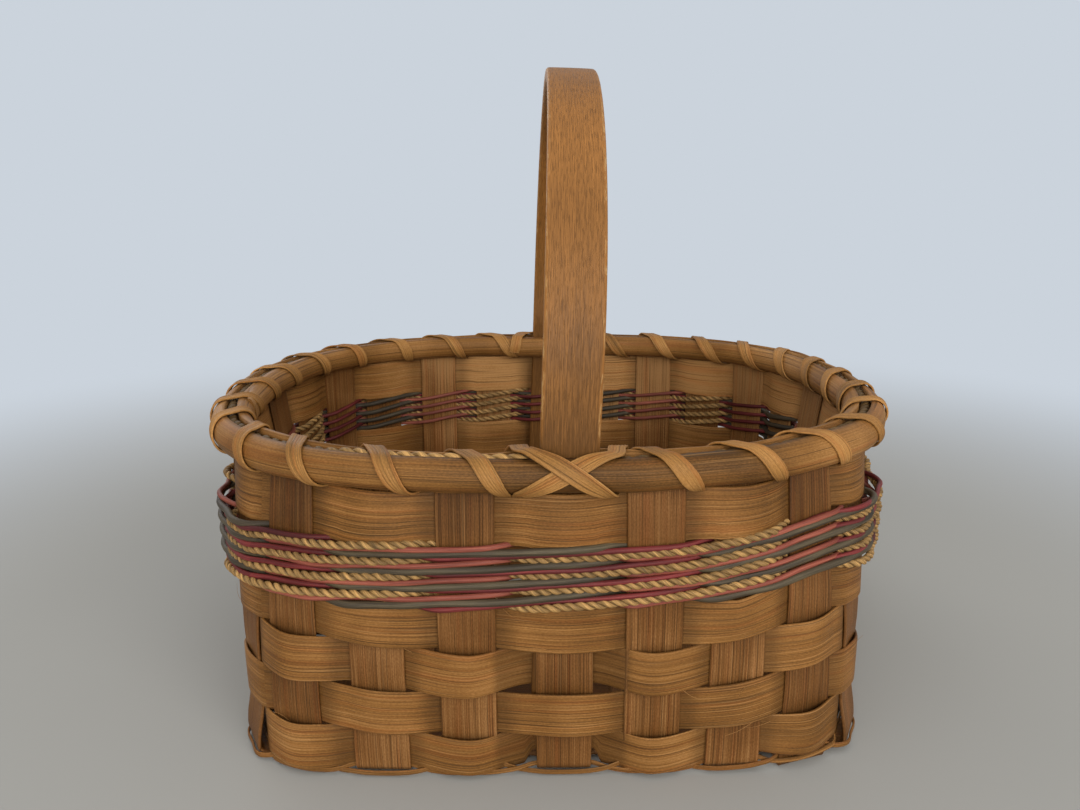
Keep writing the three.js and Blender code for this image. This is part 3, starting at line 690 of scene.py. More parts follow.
def stake_strips(weave):
    """Every strip of the base: its uprights, its directions and where it crosses the others."""
    even = (np.arange(PER_SIDE) - 3) * weave.wall.base_pitch
    shifted = even + np.array(STAKE_SHIFTS)
    right, back = np.array([1.0, 0, 0]), np.array([0, 1.0, 0])
    numbers = range(1, PER_SIDE + 1)
    return [{
        "name": f"stake_depth_{n}", "first": n, "last": 3 * PER_SIDE + 1 - n,
        "places": even, "high": [(i + n) % 2 == 1 for i in numbers],
        "along": back, "side": right, "spot": right * shifted[n - 1],
    } for n in numbers] + [{
        "name": f"stake_length_{n}", "first": UPRIGHTS + 1 - n, "last": PER_SIDE + n,
        "places": shifted, "high": [(i + n) % 2 == 0 for i in numbers],
        "along": right, "side": -back, "spot": back * even[n - 1],
    } for n in numbers]


def build_stake(weave, strip, finish, seed):
    centre, side, out, hidden = stake_path(weave, strip)
    run = path_lengths(centre)
    turn = run / run[-1]
    profile = splint_profile(weave.splint.stake_width, weave.splint.stake_thickness)
    points = sweep(centre, side, out, widened(profile, 1 + wander(turn, seed, 9, 0.012)))
    dice = random.Random(seed)
    tone = dice.uniform(-0.07, 0.07) + wander(turn, seed + 1, 6, 0.03)
    tone = tone[:, None] + painted_light_and_shade(points, profile[None, :, 1])
    # Painted shade: the outer face is darker where rows cover it, the inner face a little darker
    # where a row passes behind it
    crease = np.where(profile[None, :, 1] > 0, hidden[:, None], 0.25 * (1 - hidden[:, None]))
    body = shell(points, *cut_from(dice, run, profile[:, 0]), tone, crease)
    make_piece(strip["name"] + "_splint", [body], finish, [strip["name"]])


# Weavers: flat splints that go over one upright and behind the next


def weaver_offset(weave, s, z, over_odd, seed, swell):
    """How far out a row's middle is: it springs in a broad arch over one upright, from the edge
    of the one before to the edge of the one after, and runs close behind those."""
    k = np.arange(1, UPRIGHTS + 1)
    dice = random.Random(seed)
    over = (k % 2 == 1) == over_odd
    swell = swell * np.array([dice.uniform(0.8, 1.2) for _ in k])
    swell = swell * np.where(at_end(k), 1 - 0.6 * near_corner(k), 1 + 0.2 * near_corner(k))
    edge = np.full(UPRIGHTS, -weave.woven + TOUCH)
    peak = np.where(over, weave.woven + TOUCH + swell, -weave.woven - 0.8 * mm)
    half = np.full(UPRIGHTS, weave.pass_half)
    middle = np.zeros(UPRIGHTS)
    # Slope at which the row passes the edge of an upright that it goes behind
    slope = np.full(UPRIGHTS, -0.22)
    for stake in (FRONT_CENTRE, BACK_CENTRE):
        if over[stake - 1]:
            continue
        # Behind this upright the row goes round the handle's leg as well
        drift = weave.handle_drift(stake, z)
        edge[stake - 1] = -weave.woven - weave.handle.leg_thickness - 2 * CLEARANCE + 0.2 * mm
        peak[stake - 1] = edge[stake - 1] - 0.4 * mm
        slope[stake - 1] = -0.1
        middle[stake - 1] = drift / 2
        half[stake - 1] += abs(drift) / 2
    pitch = weave.pitch(k.astype(float), z)
    centre = k + middle / pitch
    place = (s - 0.5) % UPRIGHTS + 0.5
    i = np.floor(place + 0.5).astype(int) - 1
    before = np.where(place > centre[i], i, i - 1) % UPRIGHTS
    after = (before + 1) % UPRIGHTS
    spacing = (centre[after] - centre[before]) % UPRIGHTS * pitch[before]
    from_before = ((place - centre[before] + 1) % UPRIGHTS - 1) * pitch[before]
    outer = np.where(over[before], before, after)
    inner = np.where(over[before], after, before)
    d = np.where(over[before], from_before, spacing - from_before)
    reach = spacing - half[inner]
    t = np.clip(d / reach, 0, 1)
    arch = curve(t, peak[outer], edge[inner], end_slope=slope[inner] * reach)
    t = np.clip((d - reach) / half[inner], 0, 1)
    tuck = curve(t, edge[inner], peak[inner], slope[inner] * half[inner])
    return np.where(d < reach, arch, tuck)


def clear_of_base(s, offset, rise):
    """How far the first row's lower edge stays above the base, and above the handle's foot."""
    over_handle = smooth(-offset, 4.8 * mm, 5.9 * mm)
    beside = (s - FRONT_CENTRE + PER_SIDE) % (2 * PER_SIDE) - PER_SIDE
    level = 1 - 0.85 * near(np.abs(beside), 0.45, 0.8) * (1 - over_handle)
    return ((1.9 + 1.2 * rise) * level + 3.8 * over_handle) * mm


def build_weaver(weave, name, finish, seed, bottom, height, over_odd, wave=0.0, sag=0.0,
                 swell=None, lifts=(0, 0), on_base=False):
    """One row; wave is how much higher it runs over an even upright than over an odd one, sag
    how much lower its lower edge hangs away from the gaps between uprights, and lifts how far
    its lower and its upper edge ride up at each place."""
    s = row_places(ROW_STEPS)
    turn = (s - 0.5) / UPRIGHTS
    swell = weave.splint.swell if swell is None else swell
    offset = weaver_offset(weave, s, bottom + height / 2, over_odd, seed, swell)
    profile = splint_profile(height, weave.splint.weaver_thickness)
    # 1 over the even uprights and 0 over the odd ones
    rise = 0.5 - 0.5 * np.cos(math.pi * (s - 1))
    ragged = 0.25 * mm
    top = bottom + height + wave * rise + wander(turn, seed + 2, 18, ragged) + lifts[1]
    low = bottom + wave * rise + wander(turn, seed + 3, 18, ragged) + lifts[0]
    low = low - sag * near(np.abs(s - np.round(s)), 0.28, 0.42)
    if on_base:
        low = low + clear_of_base(s, offset, rise)
    share = profile[:, 0] / height + 0.5
    z = low[:, None] + (top - low)[:, None] * share[None]
    points = weave.at(s[:, None], z, offset[:, None] + profile[None, :, 1])
    run = path_lengths(points[:, 0], True)
    dice = random.Random(seed)
    tone = dice.uniform(-0.03, 0.03) + wander(turn, seed + 4, 9, 0.05)
    tone = tone[:, None] + painted_light_and_shade(points, profile[None, :, 1])
    # Painted shade: the outer face is darker where the row goes behind an upright, and the inner
    # face where it passes over one
    tucked = smooth(-offset, -1.3 * mm, 0.9 * mm)[:, None]
    crease = np.where(profile[None, :, 1] > 0, tucked, 0.8 * (1 - tucked))
    body = shell(points, *cut_from(dice, run, profile[:, 0]), tone, crease, ring=True)
    make_piece(name + "_splint", [body], finish, [name])


def build_rows(weave, finish):
    """The rows under the band, the one over it and the narrow one between the hoops."""
    width, seed = weave.splint.weaver_width, SEEDS["rows"]
    s = row_places(ROW_STEPS)
    lift = weave.lift(s)
    for row in range(1, LOWER_ROWS + 1):
        lifts = (lift, lift)
        if row == 1:
            lifts = (weave.lift(s, 0.25, 0.75), lift)
        elif row == LOWER_ROWS:
            lifts = (lift - 0.6 * weave.squeeze(s), weave.last_row_top(s))
        bottom = weave.wall.foot_gap + (row - 1) * weave.row_pitch
        wave = (2.4 - 0.5 * row) * mm
        build_weaver(weave, f"weaver_row_{row}", finish, seed + 10 * row, bottom,
                     width + LOWER_ROW_EXTRA, row % 2 == 1, wave, lifts=lifts, on_base=row == 1)
    build_weaver(weave, f"weaver_row_{LOWER_ROWS + 1}", finish, seed + 50, weave.top_row_bottom,
                 width + TOP_ROW_EXTRA, False, sag=0.6 * mm, lifts=(weave.first_row_foot(s), 0))
    build_weaver(weave, "rim_row", finish, seed + 60, weave.rim_bottom, weave.rim.row_height,
                 True, sag=0.8 * mm, swell=0.1 * mm)


def build_foot_twining(weave, finish):
    """Two fine splints that twist about each other round the foot, one outside each upright."""
    width, thickness = 2.2 * mm, 0.9 * mm
    s = row_places(STRAND_STEPS)
    profile = splint_profile(width, thickness, 4)
    shells = []
    for strand in range(2):
        keys, outs, heights = [], [], []
        for k in range(1, UPRIGHTS + 1):
            keys += [k - 0.33, k, k + 0.33, k + 0.5]
            if k % 2 == strand:
                outs += [-1.2 * mm, -1.4 * mm, -1.2 * mm, -0.4 * mm]
                heights += [4.4 * mm, 4.4 * mm, 4.4 * mm, 2.6 * mm]
            else:
                beside = 1.1 * mm + 0.8 * foot_kick(k)
                bow = beside + (0.2 + 0.5 * float(near_corner(k))) * mm
                outs += [beside, bow, beside, 0.4 * mm]
                heights += [2.4 * mm, 1.9 * mm, 2.4 * mm, 3.2 * mm]
        offset = through_keys(s, keys, outs)
        z = through_keys(s, keys, heights) + weave.lift(s, 0, 0.3)
        points = weave.at(s[:, None], z[:, None] + profile[None, :, 0],
                          offset[:, None] + profile[None, :, 1])
        run = path_lengths(points[:, 0], True)
        # Painted shade: the twining is a little darker all along
        shells.append(shell(points, run, profile[:, 0] + 0.1 * strand, 0.0, 0.25, ring=True))
    make_piece("foot_twining", shells, finish, [])


def build_loose_fibres(weave, finish):
    """Fine fibres that have sprung from the edges of the woven rows."""
    count, sides, thickness = 44, 5, 0.2 * mm
    dice = random.Random(SEEDS["fibres"])
    t = np.linspace(0, 1, 14)
    shells = []
    for n in range(count):
        row = n % LOWER_ROWS
        s = dice.uniform(0.5, UPRIGHTS + 0.5)
        edge = weave.wall.foot_gap + (row + dice.choice((0.08, 0.92))) * weave.row_pitch
        offset = weaver_offset(weave, np.array([s]), edge, row % 2 == 0,
                               SEEDS["rows"] + 10 * (row + 1), weave.splint.swell)[0]
        reach = dice.uniform(5, 15) * mm * dice.choice((-1, 1))
        rise = dice.uniform(-5, 6) * mm
        spring = dice.uniform(0.6, 3.2) * mm
        curl = dice.uniform(-2.5, 2.5) * mm
        z = edge + float(weave.lift(s)) + rise * t + curl * np.sin(math.pi * t)
        centre = weave.at(s + reach * t / weave.wall.base_pitch, np.maximum(z, 0.4 * mm),
                          max(offset, 0) + 0.7 * mm + spring * t**1.5)
        section = round_section(sides, thickness / 2 * (1 - 0.6 * t))
        points = sweep(centre, *frame_of(centre), section)
        around = np.arange(sides + 1) * thickness / 2
        shells.append(shell(points, path_lengths(centre) + s, around, 0.22))
    make_piece("loose_fibres", shells, finish, [])


# Waling: four strands in each row, over three uprights and behind the fourth


def strand_path(weave, strand, centre_z, seed):
    """Centre line of one strand and its distance out from the middle of the wall."""
    s = row_places(STRAND_STEPS)
    turn = (s - 0.5) / UPRIGHTS
    radius = strand["diameter"] / 2
    contact = weave.splint.stake_thickness / 2 + radius + TOUCH
    slot = weave.band.pitch / 3
    keys, outs, ups = [], [], []
    for k in range(1, UPRIGHTS + 1):
        phase = (k - strand["behind"]) % STRANDS
        pitch = float(weave.pitch(float(k), centre_z))
        edge = weave.pass_half / pitch
        if phase == 0:
            depth, centre = contact, k
            if k in (FRONT_CENTRE, BACK_CENTRE):
                depth += weave.handle.leg_thickness + CLEARANCE
                centre += weave.handle_drift(k, centre_z) / pitch
            keys += [centre - edge * 0.8, centre, centre + edge * 0.8]
            outs += [-depth, -depth - 0.3 * mm, -depth]
            ups += [slot * 0.7, 0, -slot * 0.8]
        else:
            # Over the first, the second and the third upright, in mm past touching it
            before, over, after, slack = (
                (0.1, 0, 0.3, 0.55), (0.9, 0.9, 1.0, 1), (1.2, 1.1, 0.2, 0.55),
            )[phase - 1]
            # The band stands off the wall at the ends of the oval
            ends = abs(math.sin(math.pi * (k - FRONT_CENTRE) / (2 * PER_SIDE)))
            loose = weave.band.looseness * float(smooth(ends, 0.55, 0.95))
            beside = loose * slack * 0.8
            keys += [k - edge, k, k + edge]
            outs += [contact + before * mm + beside, contact + over * mm + loose,
                     contact + after * mm + beside]
            level = (phase - 2) * slot
            ups += [level - slot * 0.25, level, level + slot * 0.25]
    offset = through_keys(s, keys, outs) + wander(turn, seed, 16, 0.12 * mm)
    z = centre_z + through_keys(s, keys, ups) + wander(turn, seed + 1, 14, 0.22 * mm)
    above_middle = (z - weave.wale_bottom) / (weave.top_row_bottom - weave.wale_bottom) - 0.5
    spread = BAND_SPREAD * near(np.abs(s - SPREAD_PLACE), 0.6, 3) - weave.squeeze(s)
    z = z + weave.lift(s, 0, strand["rise"]) + 2 * above_middle * spread
    # Where a strand runs over the edge of the row beside the band it stands further out
    low, high = weave.band_edges(s)
    over_row = np.maximum(smooth(low - z + radius, -0.4 * mm, 1 * mm),
                          smooth(z + radius - high, -0.4 * mm, 1 * mm))
    offset = offset + 1.5 * mm * over_row * smooth(offset, 0.5 * mm, 2 * mm)
    # A stiff reed rounds off the corners that the flat stretches leave
    return eased(weave.at(s, z, offset), rounds=26), offset


def round_reed(centre, radius, seed, tone, crease):
    sides = 12
    turn = np.arange(len(centre)) / len(centre)
    section = round_section(sides, radius * (1 + wander(turn, seed, 40, 0.03)))
    points = sweep(centre, *frame_of(centre, True), section)
    dice = random.Random(seed)
    lengths = cut_from(dice, path_lengths(centre, True), girth(sides, radius))
    return shell(points, *lengths, tone[:, None], crease[:, None], ring=True)


def resample(centre, step, ring):
    """The same path with points a step apart, and their lengths along it."""
    run = path_lengths(centre, ring)
    closed = np.concatenate([centre, centre[:1]]) if ring else centre
    spots = np.linspace(0, run[-1], int(run[-1] / step) + 1)
    points = np.stack([np.interp(spots, run, closed[:, n]) for n in range(3)], axis=-1)
    return (points[:-1], spots[:-1]) if ring else (points, spots)


def twisted_rope(centre, diameter, lay, seed, ring, tone=0.0):
    """Plies that wind round each other along the path."""
    step = 0.55 * mm
    path, spots = resample(centre, step, ring)
    out, up = frame_of(path, ring)
    if ring:
        total = path_lengths(path, True)[-1]
        lay = total / round(total / lay)
    tone = np.interp(spots, path_lengths(centre), np.broadcast_to(tone, len(centre)))[:, None]
    dice = random.Random(seed)
    # A ply's own radius, and the distance of its middle from the rope's
    radius, spread = 0.29 * diameter, 0.235 * diameter
    sides = 9
    turn = spots / spots[-1]
    angle = np.arange(sides) * 2 * math.pi / sides
    # Painted shade: a ply is darker on the side that faces the other ply
    groove = (0.55 - 0.5 * np.sin(angle))[None]
    shells = []
    for ply in range(PLIES):
        swing = 2 * math.pi * (ply / PLIES - spots / lay)
        reach = spread * (1 + wander(turn, seed + ply, 60, 0.05))
        thick = radius * (1 + wander(turn, seed + 7 + ply, 90, 0.05))
        core = path + (out * np.cos(swing)[:, None] + up * np.sin(swing)[:, None]) * reach[:, None]
        along = heading_of(core, ring)
        away = unit(core - path)
        away = unit(away - along * (away * along).sum(-1, keepdims=True))
        # A ply is a little flat where it presses on the other
        section = round_section(sides, thick, 1.08, 0.94)
        points = sweep(core, np.cross(along, away), away, section)
        lengths = cut_from(dice, path_lengths(core, ring), girth(sides, radius))
        shells.append(shell(points, *lengths, tone + dice.uniform(-0.05, 0.05), groove, ring=ring))
    return shells


def build_waling(weave, row, strand, seed):
    name = f"wale_{row}_{strand['name']}"
    centre_z = weave.wale_bottom + (row - 0.5) * weave.band.pitch
    centre, offset = strand_path(weave, strand, centre_z, seed)
    if strand["name"] == "seagrass":
        shells = twisted_rope(centre, strand["diameter"], weave.band.rope_lay, seed, True)
    else:
        tone = wander(np.arange(len(centre)) / len(centre), seed + 3, 12, 0.05)
        # Painted shade where the strand passes behind an upright
        behind = smooth(-offset, -1 * mm, 1 * mm)
        shells = [round_reed(centre, strand["diameter"] / 2, seed, tone, behind)]
    make_piece(name + "_strand", shells, strand["finish"], [name])


# Rim: two half-round hoops, a rope between them and the lashing round all three


def inner_step(weave, s):
    """How far the inner hoop steps in round the handle and the row behind it."""
    step = weave.handle.leg_thickness + CLEARANCE
    total = 0
    for k in (FRONT_CENTRE, BACK_CENTRE):
        middle = k + weave.handle_drift(k, weave.rim_top) / weave.wall.rim_pitch
        total = total + step * near(away_from(s, middle), 0.36, 0.95)
    return total


def build_hoop(weave, name, outside, finish, seed, splice_at):
    """Half-round hoop whose ends overlap in a long scarf; outside is 1, or -1 for the inner one."""
    rim = weave.rim
    overlap, face_points, back_points = 1.1, 15, 5
    s = splice_at + np.linspace(0, UPRIGHTS + overlap, 1500)
    turn = (s - splice_at) / (UPRIGHTS + overlap)
    angle = np.linspace(-math.pi / 2, math.pi / 2, face_points)
    bulge = np.cos(angle) ** HALF_ROUND
    height = 0.5 * rim.height * np.sin(angle)
    # The start is cut away on its outer side and the end on its inner side, to lie together
    start = near(s - splice_at, 0, overlap)
    end = smooth(s - splice_at, UPRIGHTS, UPRIGHTS + overlap)
    inner = rim.thickness * 0.62 * end
    outer = rim.thickness * (1 - 0.66 * start) + 0.5 * mm * end
    depth = inner[:, None] + (outer - inner)[:, None] * bulge[None]
    depth = np.concatenate([depth, np.stack([inner] * back_points, axis=1)], axis=1)
    back = np.linspace(height[-1], height[0], back_points + 2)[1:-1]
    face = weave.rim_face + wander(turn, seed, 20, 0.15 * mm)
    if outside < 0:
        face = face + inner_step(weave, s)
    middle = (weave.rim_bottom + weave.rim_top) / 2 + wander(turn, seed + 1, 12, 0.2 * mm)
    z = middle[:, None] + np.concatenate([height, back])[None]
    points = weave.hoop_at(s[:, None], z, outside * (face[:, None] + depth))
    # Painted light paler at the ends of the oval, and painted shade on the outer hoop beside the
    # front crossing
    crown = points[:, face_points // 2]
    tone = wander(turn, seed + 2, 9, 0.05)
    tone = tone - 0.22 * near(np.abs(s % UPRIGHTS - 4.4), 0.5, 2.6) * (outside > 0)
    tone = tone + 0.09 * smooth(np.abs(crown[:, 0]), 90 * mm, 145 * mm)
    around = np.concatenate([height, back + 0.03])
    lengths = cut_from(random.Random(seed), path_lengths(crown), around)
    body = shell(points, *lengths, tone[:, None])
    make_piece(name + "_half_round", [body], finish, [name])


def build_filler(weave, name, start, end, finish, seed):
    s = np.linspace(start, end, 500)
    turn = (s - start) / (end - start)
    proud = near(away_from(s, PROUD_PLACE), 0.9, 1.6)
    z = weave.stake_top + CLEARANCE + weave.rim.filler / 2 + (1.6 * proud - 0.5) * mm
    z = z + wander(turn, seed, 20, 0.15 * mm)
    centre = weave.hoop_at(s, z, wander(turn, seed + 1, 14, 0.3 * mm))
    # Painted shade darker where the rope lies low between the hoops, and painted light paler where
    # it stands proud
    tone = 0.44 * proud - 0.30
    shells = twisted_rope(centre, weave.rim.filler, weave.rim.filler_lay, seed, False, tone)
    make_piece(name + "_rope", shells, finish, [name])


def bundle_path(weave):
    """Closed path round the rim bundle, which starts on top and runs down the outside: its
    distance out, its height, and the way it faces, out and up, at even steps of its length."""
    rim = weave.rim
    grow = rim.lashing_thickness / 2 + 0.35 * mm
    angle = np.linspace(math.pi / 2, -math.pi / 2, 61)
    bulge = np.abs(np.cos(angle)) ** HALF_ROUND
    out = weave.rim_face + rim.thickness * bulge + grow * np.cos(angle)
    end = rim.height / 2 + grow
    up = end * np.sin(angle)
    out = np.concatenate([[0], out, [0], -out[::-1], [0]])
    up = np.concatenate([[end], up, [-end - 0.2 * mm], up[::-1], [end]])
    run = np.concatenate([[0], np.cumsum(np.hypot(np.diff(out), np.diff(up)))])
    spots = np.linspace(0, run[-1], 401)[:-1]
    path = np.stack([np.interp(spots, run, out), np.interp(spots, run, up)], axis=-1)
    path = eased(path, rounds=60)
    step = heading_of(path, True)
    path[:, 1] += (weave.rim_bottom + weave.rim_top) / 2
    return np.concatenate([path, np.stack([-step[:, 1], step[:, 0]], axis=-1)], axis=1)


def round_bundle(weave, turns):
    """Distance out, height and facing of the bundle's surface at shares of a turn."""
    path = bundle_path(weave)
    place = (turns % 1) * len(path)
    low = np.floor(place).astype(int) % len(path)
    share = (place - np.floor(place))[:, None]
    return (path[low] * (1 - share) + path[(low + 1) % len(path)] * share).T


def lashing_strip(weave, s, turns, seed, lift):
    """Flat strip round the bundle: s is the place along the rim and turns counts turns."""
    offset, z, out_n, up_n = round_bundle(weave, turns)
    offset, z = offset + out_n * lift, z + up_n * lift
    offset = offset - smooth(-offset, 0, 3 * mm) * inner_step(weave, s)
    centre = weave.hoop_at(s, z, offset)
    beside = weave.hoop_at(s, z, offset + 1 * mm)
    out = unit(beside - centre) * out_n[:, None] + UP * up_n[:, None]
    heading = heading_of(centre)
    side = unit(np.cross(heading, out))
    out = np.cross(side, heading)
    # The strip is narrower where it is pulled through under the hoops
    share = turns % 1
    tuck = smooth(share, 0.24, 0.44) * near(share, 0.56, 0.76)
    turn = turns / (2 * PER_SIDE)
    width, thickness = weave.rim.lashing_width, weave.rim.lashing_thickness
    profile = splint_profile(width, thickness, 32)
    grain = profile[:, 0].copy()
    # Fine ridges along the outer face of the flat reed
    count, depth = 12, 0.08 * mm
    ridges = depth * np.cos(grain / width * math.pi * count)
    profile[:, 1] += np.where(profile[:, 1] > 0.2 * mm, ridges, 0)
    sections = widened(profile, 1 - 0.5 * tuck + wander(turn, seed, 20, 0.03))
    lengths = cut_from(random.Random(seed), path_lengths(centre), grain)
    tone = wander(turn, seed + 1, 14, 0.05)
    # Painted shade where the strip is pulled through under the hoops
    return shell(sweep(centre, side, out, sections), *lengths, tone[:, None], (0.8 * tuck)[:, None])


def between(keys, count):
    """Even steps of the turns between the first and the last key, and the places there."""
    turns, places = zip(*keys)
    steps = np.linspace(turns[0], turns[-1], count)
    return steps, np.interp(steps, turns, places)


def lashing_places(weave, k):
    """Turns of one lashing and its places along the rim, from one handle to the other. It starts
    inside the rim, comes over it beside the handle and crosses the handle's upright, k."""
    left = weave.handle_edges(k)[0]
    keys = [
        (-0.45, k - 0.55), (-0.3, left - 0.32), (-0.1, left - 0.22), (0.03, left - 0.14),
        (0.36, k + 0.50), (0.5, k + 0.55), (0.64, k + 0.66), (1.0, k + 1.0),
    ]
    last = 2 * PER_SIDE
    for n in range(1, last):
        shift = LASHING_SHIFTS[(k + n - 1) % UPRIGHTS]
        keys += [(n + turn, k + n + place)
                 for turn, place in ((0.02, shift), (0.38, 0.43), (0.5, 0.5), (0.62, 0.56))]
    turns, places = between([key for key in keys if key[0] <= last - 0.35], 60 * last)
    # Each place is the mean of seven, so that the strip bends instead of folding
    padded = np.concatenate([np.full(3, places[0]), places, np.full(3, places[-1])])
    return turns, np.convolve(padded, np.ones(7) / 7, mode="valid")


def cross_places(weave, k):
    """Turns and places of the second leg over the handle's upright, under the first."""
    right = weave.handle_edges(k)[1]
    return between([
        (-0.30, right + 0.30), (-0.1, right + 0.24), (0.03, right + 0.15), (0.36, k - 0.45),
        (0.5, k - 0.5),
    ], 70)


def build_lashing(weave, name, cross, k, finish, seed):
    """One lashing from the handle's upright k to the other one, and the second leg over k."""
    turns, places = lashing_places(weave, k)
    # The first turn is lifted over the second leg, and where it comes over the rim
    lift = (1.25 * near(np.abs(turns - 0.2), 0.14, 0.26)
            + 1.3 * near(np.abs(turns + 0.01), 0.03, 0.14)) * mm
    strip = lashing_strip(weave, places, turns, seed, lift)
    make_piece(name + "_splint", [strip], finish, [name])
    turns, places = cross_places(weave, k)
    strip = lashing_strip(weave, places, turns, seed + 5, 0.15 * mm)
    make_piece(cross + "_splint", [strip], finish, [cross])


# Handle: one bent hoop down both walls and across the inside of the base


def handle_path(weave):
    """Outer face of the hoop in the YZ plane and its thickness, once round from the top."""
    handle = weave.handle
    floor = 2 * weave.splint.stake_thickness + 2 * CLEARANCE
    corner = weave.wall.bend_radius + handle.leg_thickness
    z = np.linspace(floor + corner, weave.rim_top + 6 * mm, 120)
    leg = np.abs(weave.at(float(FRONT_CENTRE), z, -weave.handle_face)[:, 1])
    radius = leg[-1]
    spring = handle.top - radius
    rise = np.linspace(z[-1], spring, 12)[1:]
    arc = np.linspace(0, math.pi / 2, 90)[1:]
    bend = np.linspace(-math.pi / 2, 0, 12)[1:-1]
    across = np.linspace(0, leg[0] - corner, 60)
    y = np.concatenate([across, leg[0] - corner + corner * np.cos(bend), leg,
                        np.full(len(rise), radius), radius * np.cos(arc)])
    height = np.concatenate([np.full(len(across), floor), floor + corner + corner * np.sin(bend), z,
                             rise, spring + radius * np.sin(arc)])
    y = np.concatenate([-y[::-1], y[1:-1]])
    height = np.concatenate([height[::-1], height[1:-1]])
    grip = smooth(height, weave.rim_top - 4 * mm, weave.rim_top + 16 * mm)
    return y, height, handle.leg_thickness + (handle.grip_thickness - handle.leg_thickness) * grip


def handle_section(half, deep):
    """Flat section with rounded edges and faintly full faces, from half its width and depth."""
    rounding, fullness = 1.5 * mm, 0.12 * mm
    corner = np.linspace(0, math.pi / 2, 5)
    face = np.linspace(1, -1, 13)[1:-1]
    ring = []
    for quarter, (sx, sy) in enumerate(((1, 1), (-1, 1), (-1, -1), (1, -1))):
        ring += [(sx * (half - rounding) + rounding * math.cos(a),
                  sy * (deep - rounding) + rounding * math.sin(a))
                 for a in corner + quarter * math.pi / 2]
        if quarter in (0, 2):
            ring += [(x, sy * (deep + fullness * (1 - (x / half) ** 2)))
                     for x in (half - rounding) * face * sy]
    return ring


def build_handle(weave, finish):
    y, z, thickness = handle_path(weave)
    outline = np.stack([np.zeros_like(y), y, z], axis=-1)
    inward = np.cross(heading_of(outline, True), np.array([1.0, 0, 0]))
    middle = np.array([0, 0, weave.handle.top / 2])
    if ((middle - outline) * inward).sum() < 0:
        inward = -inward
    centre = outline + inward * (thickness / 2)[:, None]
    behind = 0.5 + centre[:, 1] / (2 * (weave.base_half + weave.wall.side_flare))
    centre[:, 0] = weave.handle_x(centre[:, 2]) + weave.handle_turn * behind
    lean = weave.handle.lean
    side = np.tile(np.array([math.cos(lean), 0, -math.sin(lean)]), (len(y), 1))
    turn = np.arange(len(y)) / len(y)
    seed = SEEDS["handle"]
    half = weave.handle.width / 2 * (1 + wander(turn, seed, 6, 0.008))
    sections = np.array([handle_section(h, t) for h, t in zip(half, thickness / 2)])
    points = sweep(centre, side, -inward, sections)
    closed = np.concatenate([sections, sections[:, :1]], axis=1)
    steps = np.linalg.norm(np.diff(closed, axis=1), axis=-1)
    around = np.concatenate([[0], np.cumsum(steps.mean(0))])
    # Painted light and shade: darker towards the foot and paler towards the top, and paler on the
    # inner face; the edges above the rim are paler too, partly rubbed and partly a painted
    # highlight
    tone = wander(turn, seed + 2, 8, 0.02) - 0.29 * near(centre[:, 2], 120 * mm, 235 * mm)
    tone = tone[:, None] + 0.10 * (sections[:, :, 1] < 0)
    above = smooth(centre[:, 2], weave.rim_top + 2 * mm, weave.rim_top + 14 * mm)[:, None]
    rubbed_and_highlit = above * smooth(np.abs(sections[:, :, 0]) - half[:, None], -1.5 * mm, -0.3 * mm)
    body = shell(points, path_lengths(centre, True), around, tone, rubbed_and_highlit, ring=True)
    make_piece("handle_hoop_wood", [body], finish, ["handle_hoop"])


# Finishes: the shader nodes, written as arithmetic


class Value:
    """A socket of a material's nodes that takes Python's arithmetic."""

    def __init__(self, recipe, socket):
        self.recipe = recipe
        self.socket = socket

    def math(self, operation, *terms):
        return self.recipe.node("ShaderNodeMath", {"operation": operation}, dict(enumerate(terms)))

    def __add__(self, other):
        return self.math("ADD", self, other)

    def __radd__(self, other):
        return self.math("ADD", other, self)

    def __sub__(self, other):
        return self.math("SUBTRACT", self, other)

    def __rsub__(self, other):
        return self.math("SUBTRACT", other, self)

    def __mul__(self, other):
        return self.math("MULTIPLY", self, other)

    def __rmul__(self, other):
        return self.math("MULTIPLY", other, self)

    def clamp(self, low, high):
        """0 below low, 1 above high and a smooth step between them."""
        settings = {"interpolation_type": "SMOOTHSTEP"}
        return self.recipe.node("ShaderNodeMapRange", settings, {0: self, 1: low, 2: high})


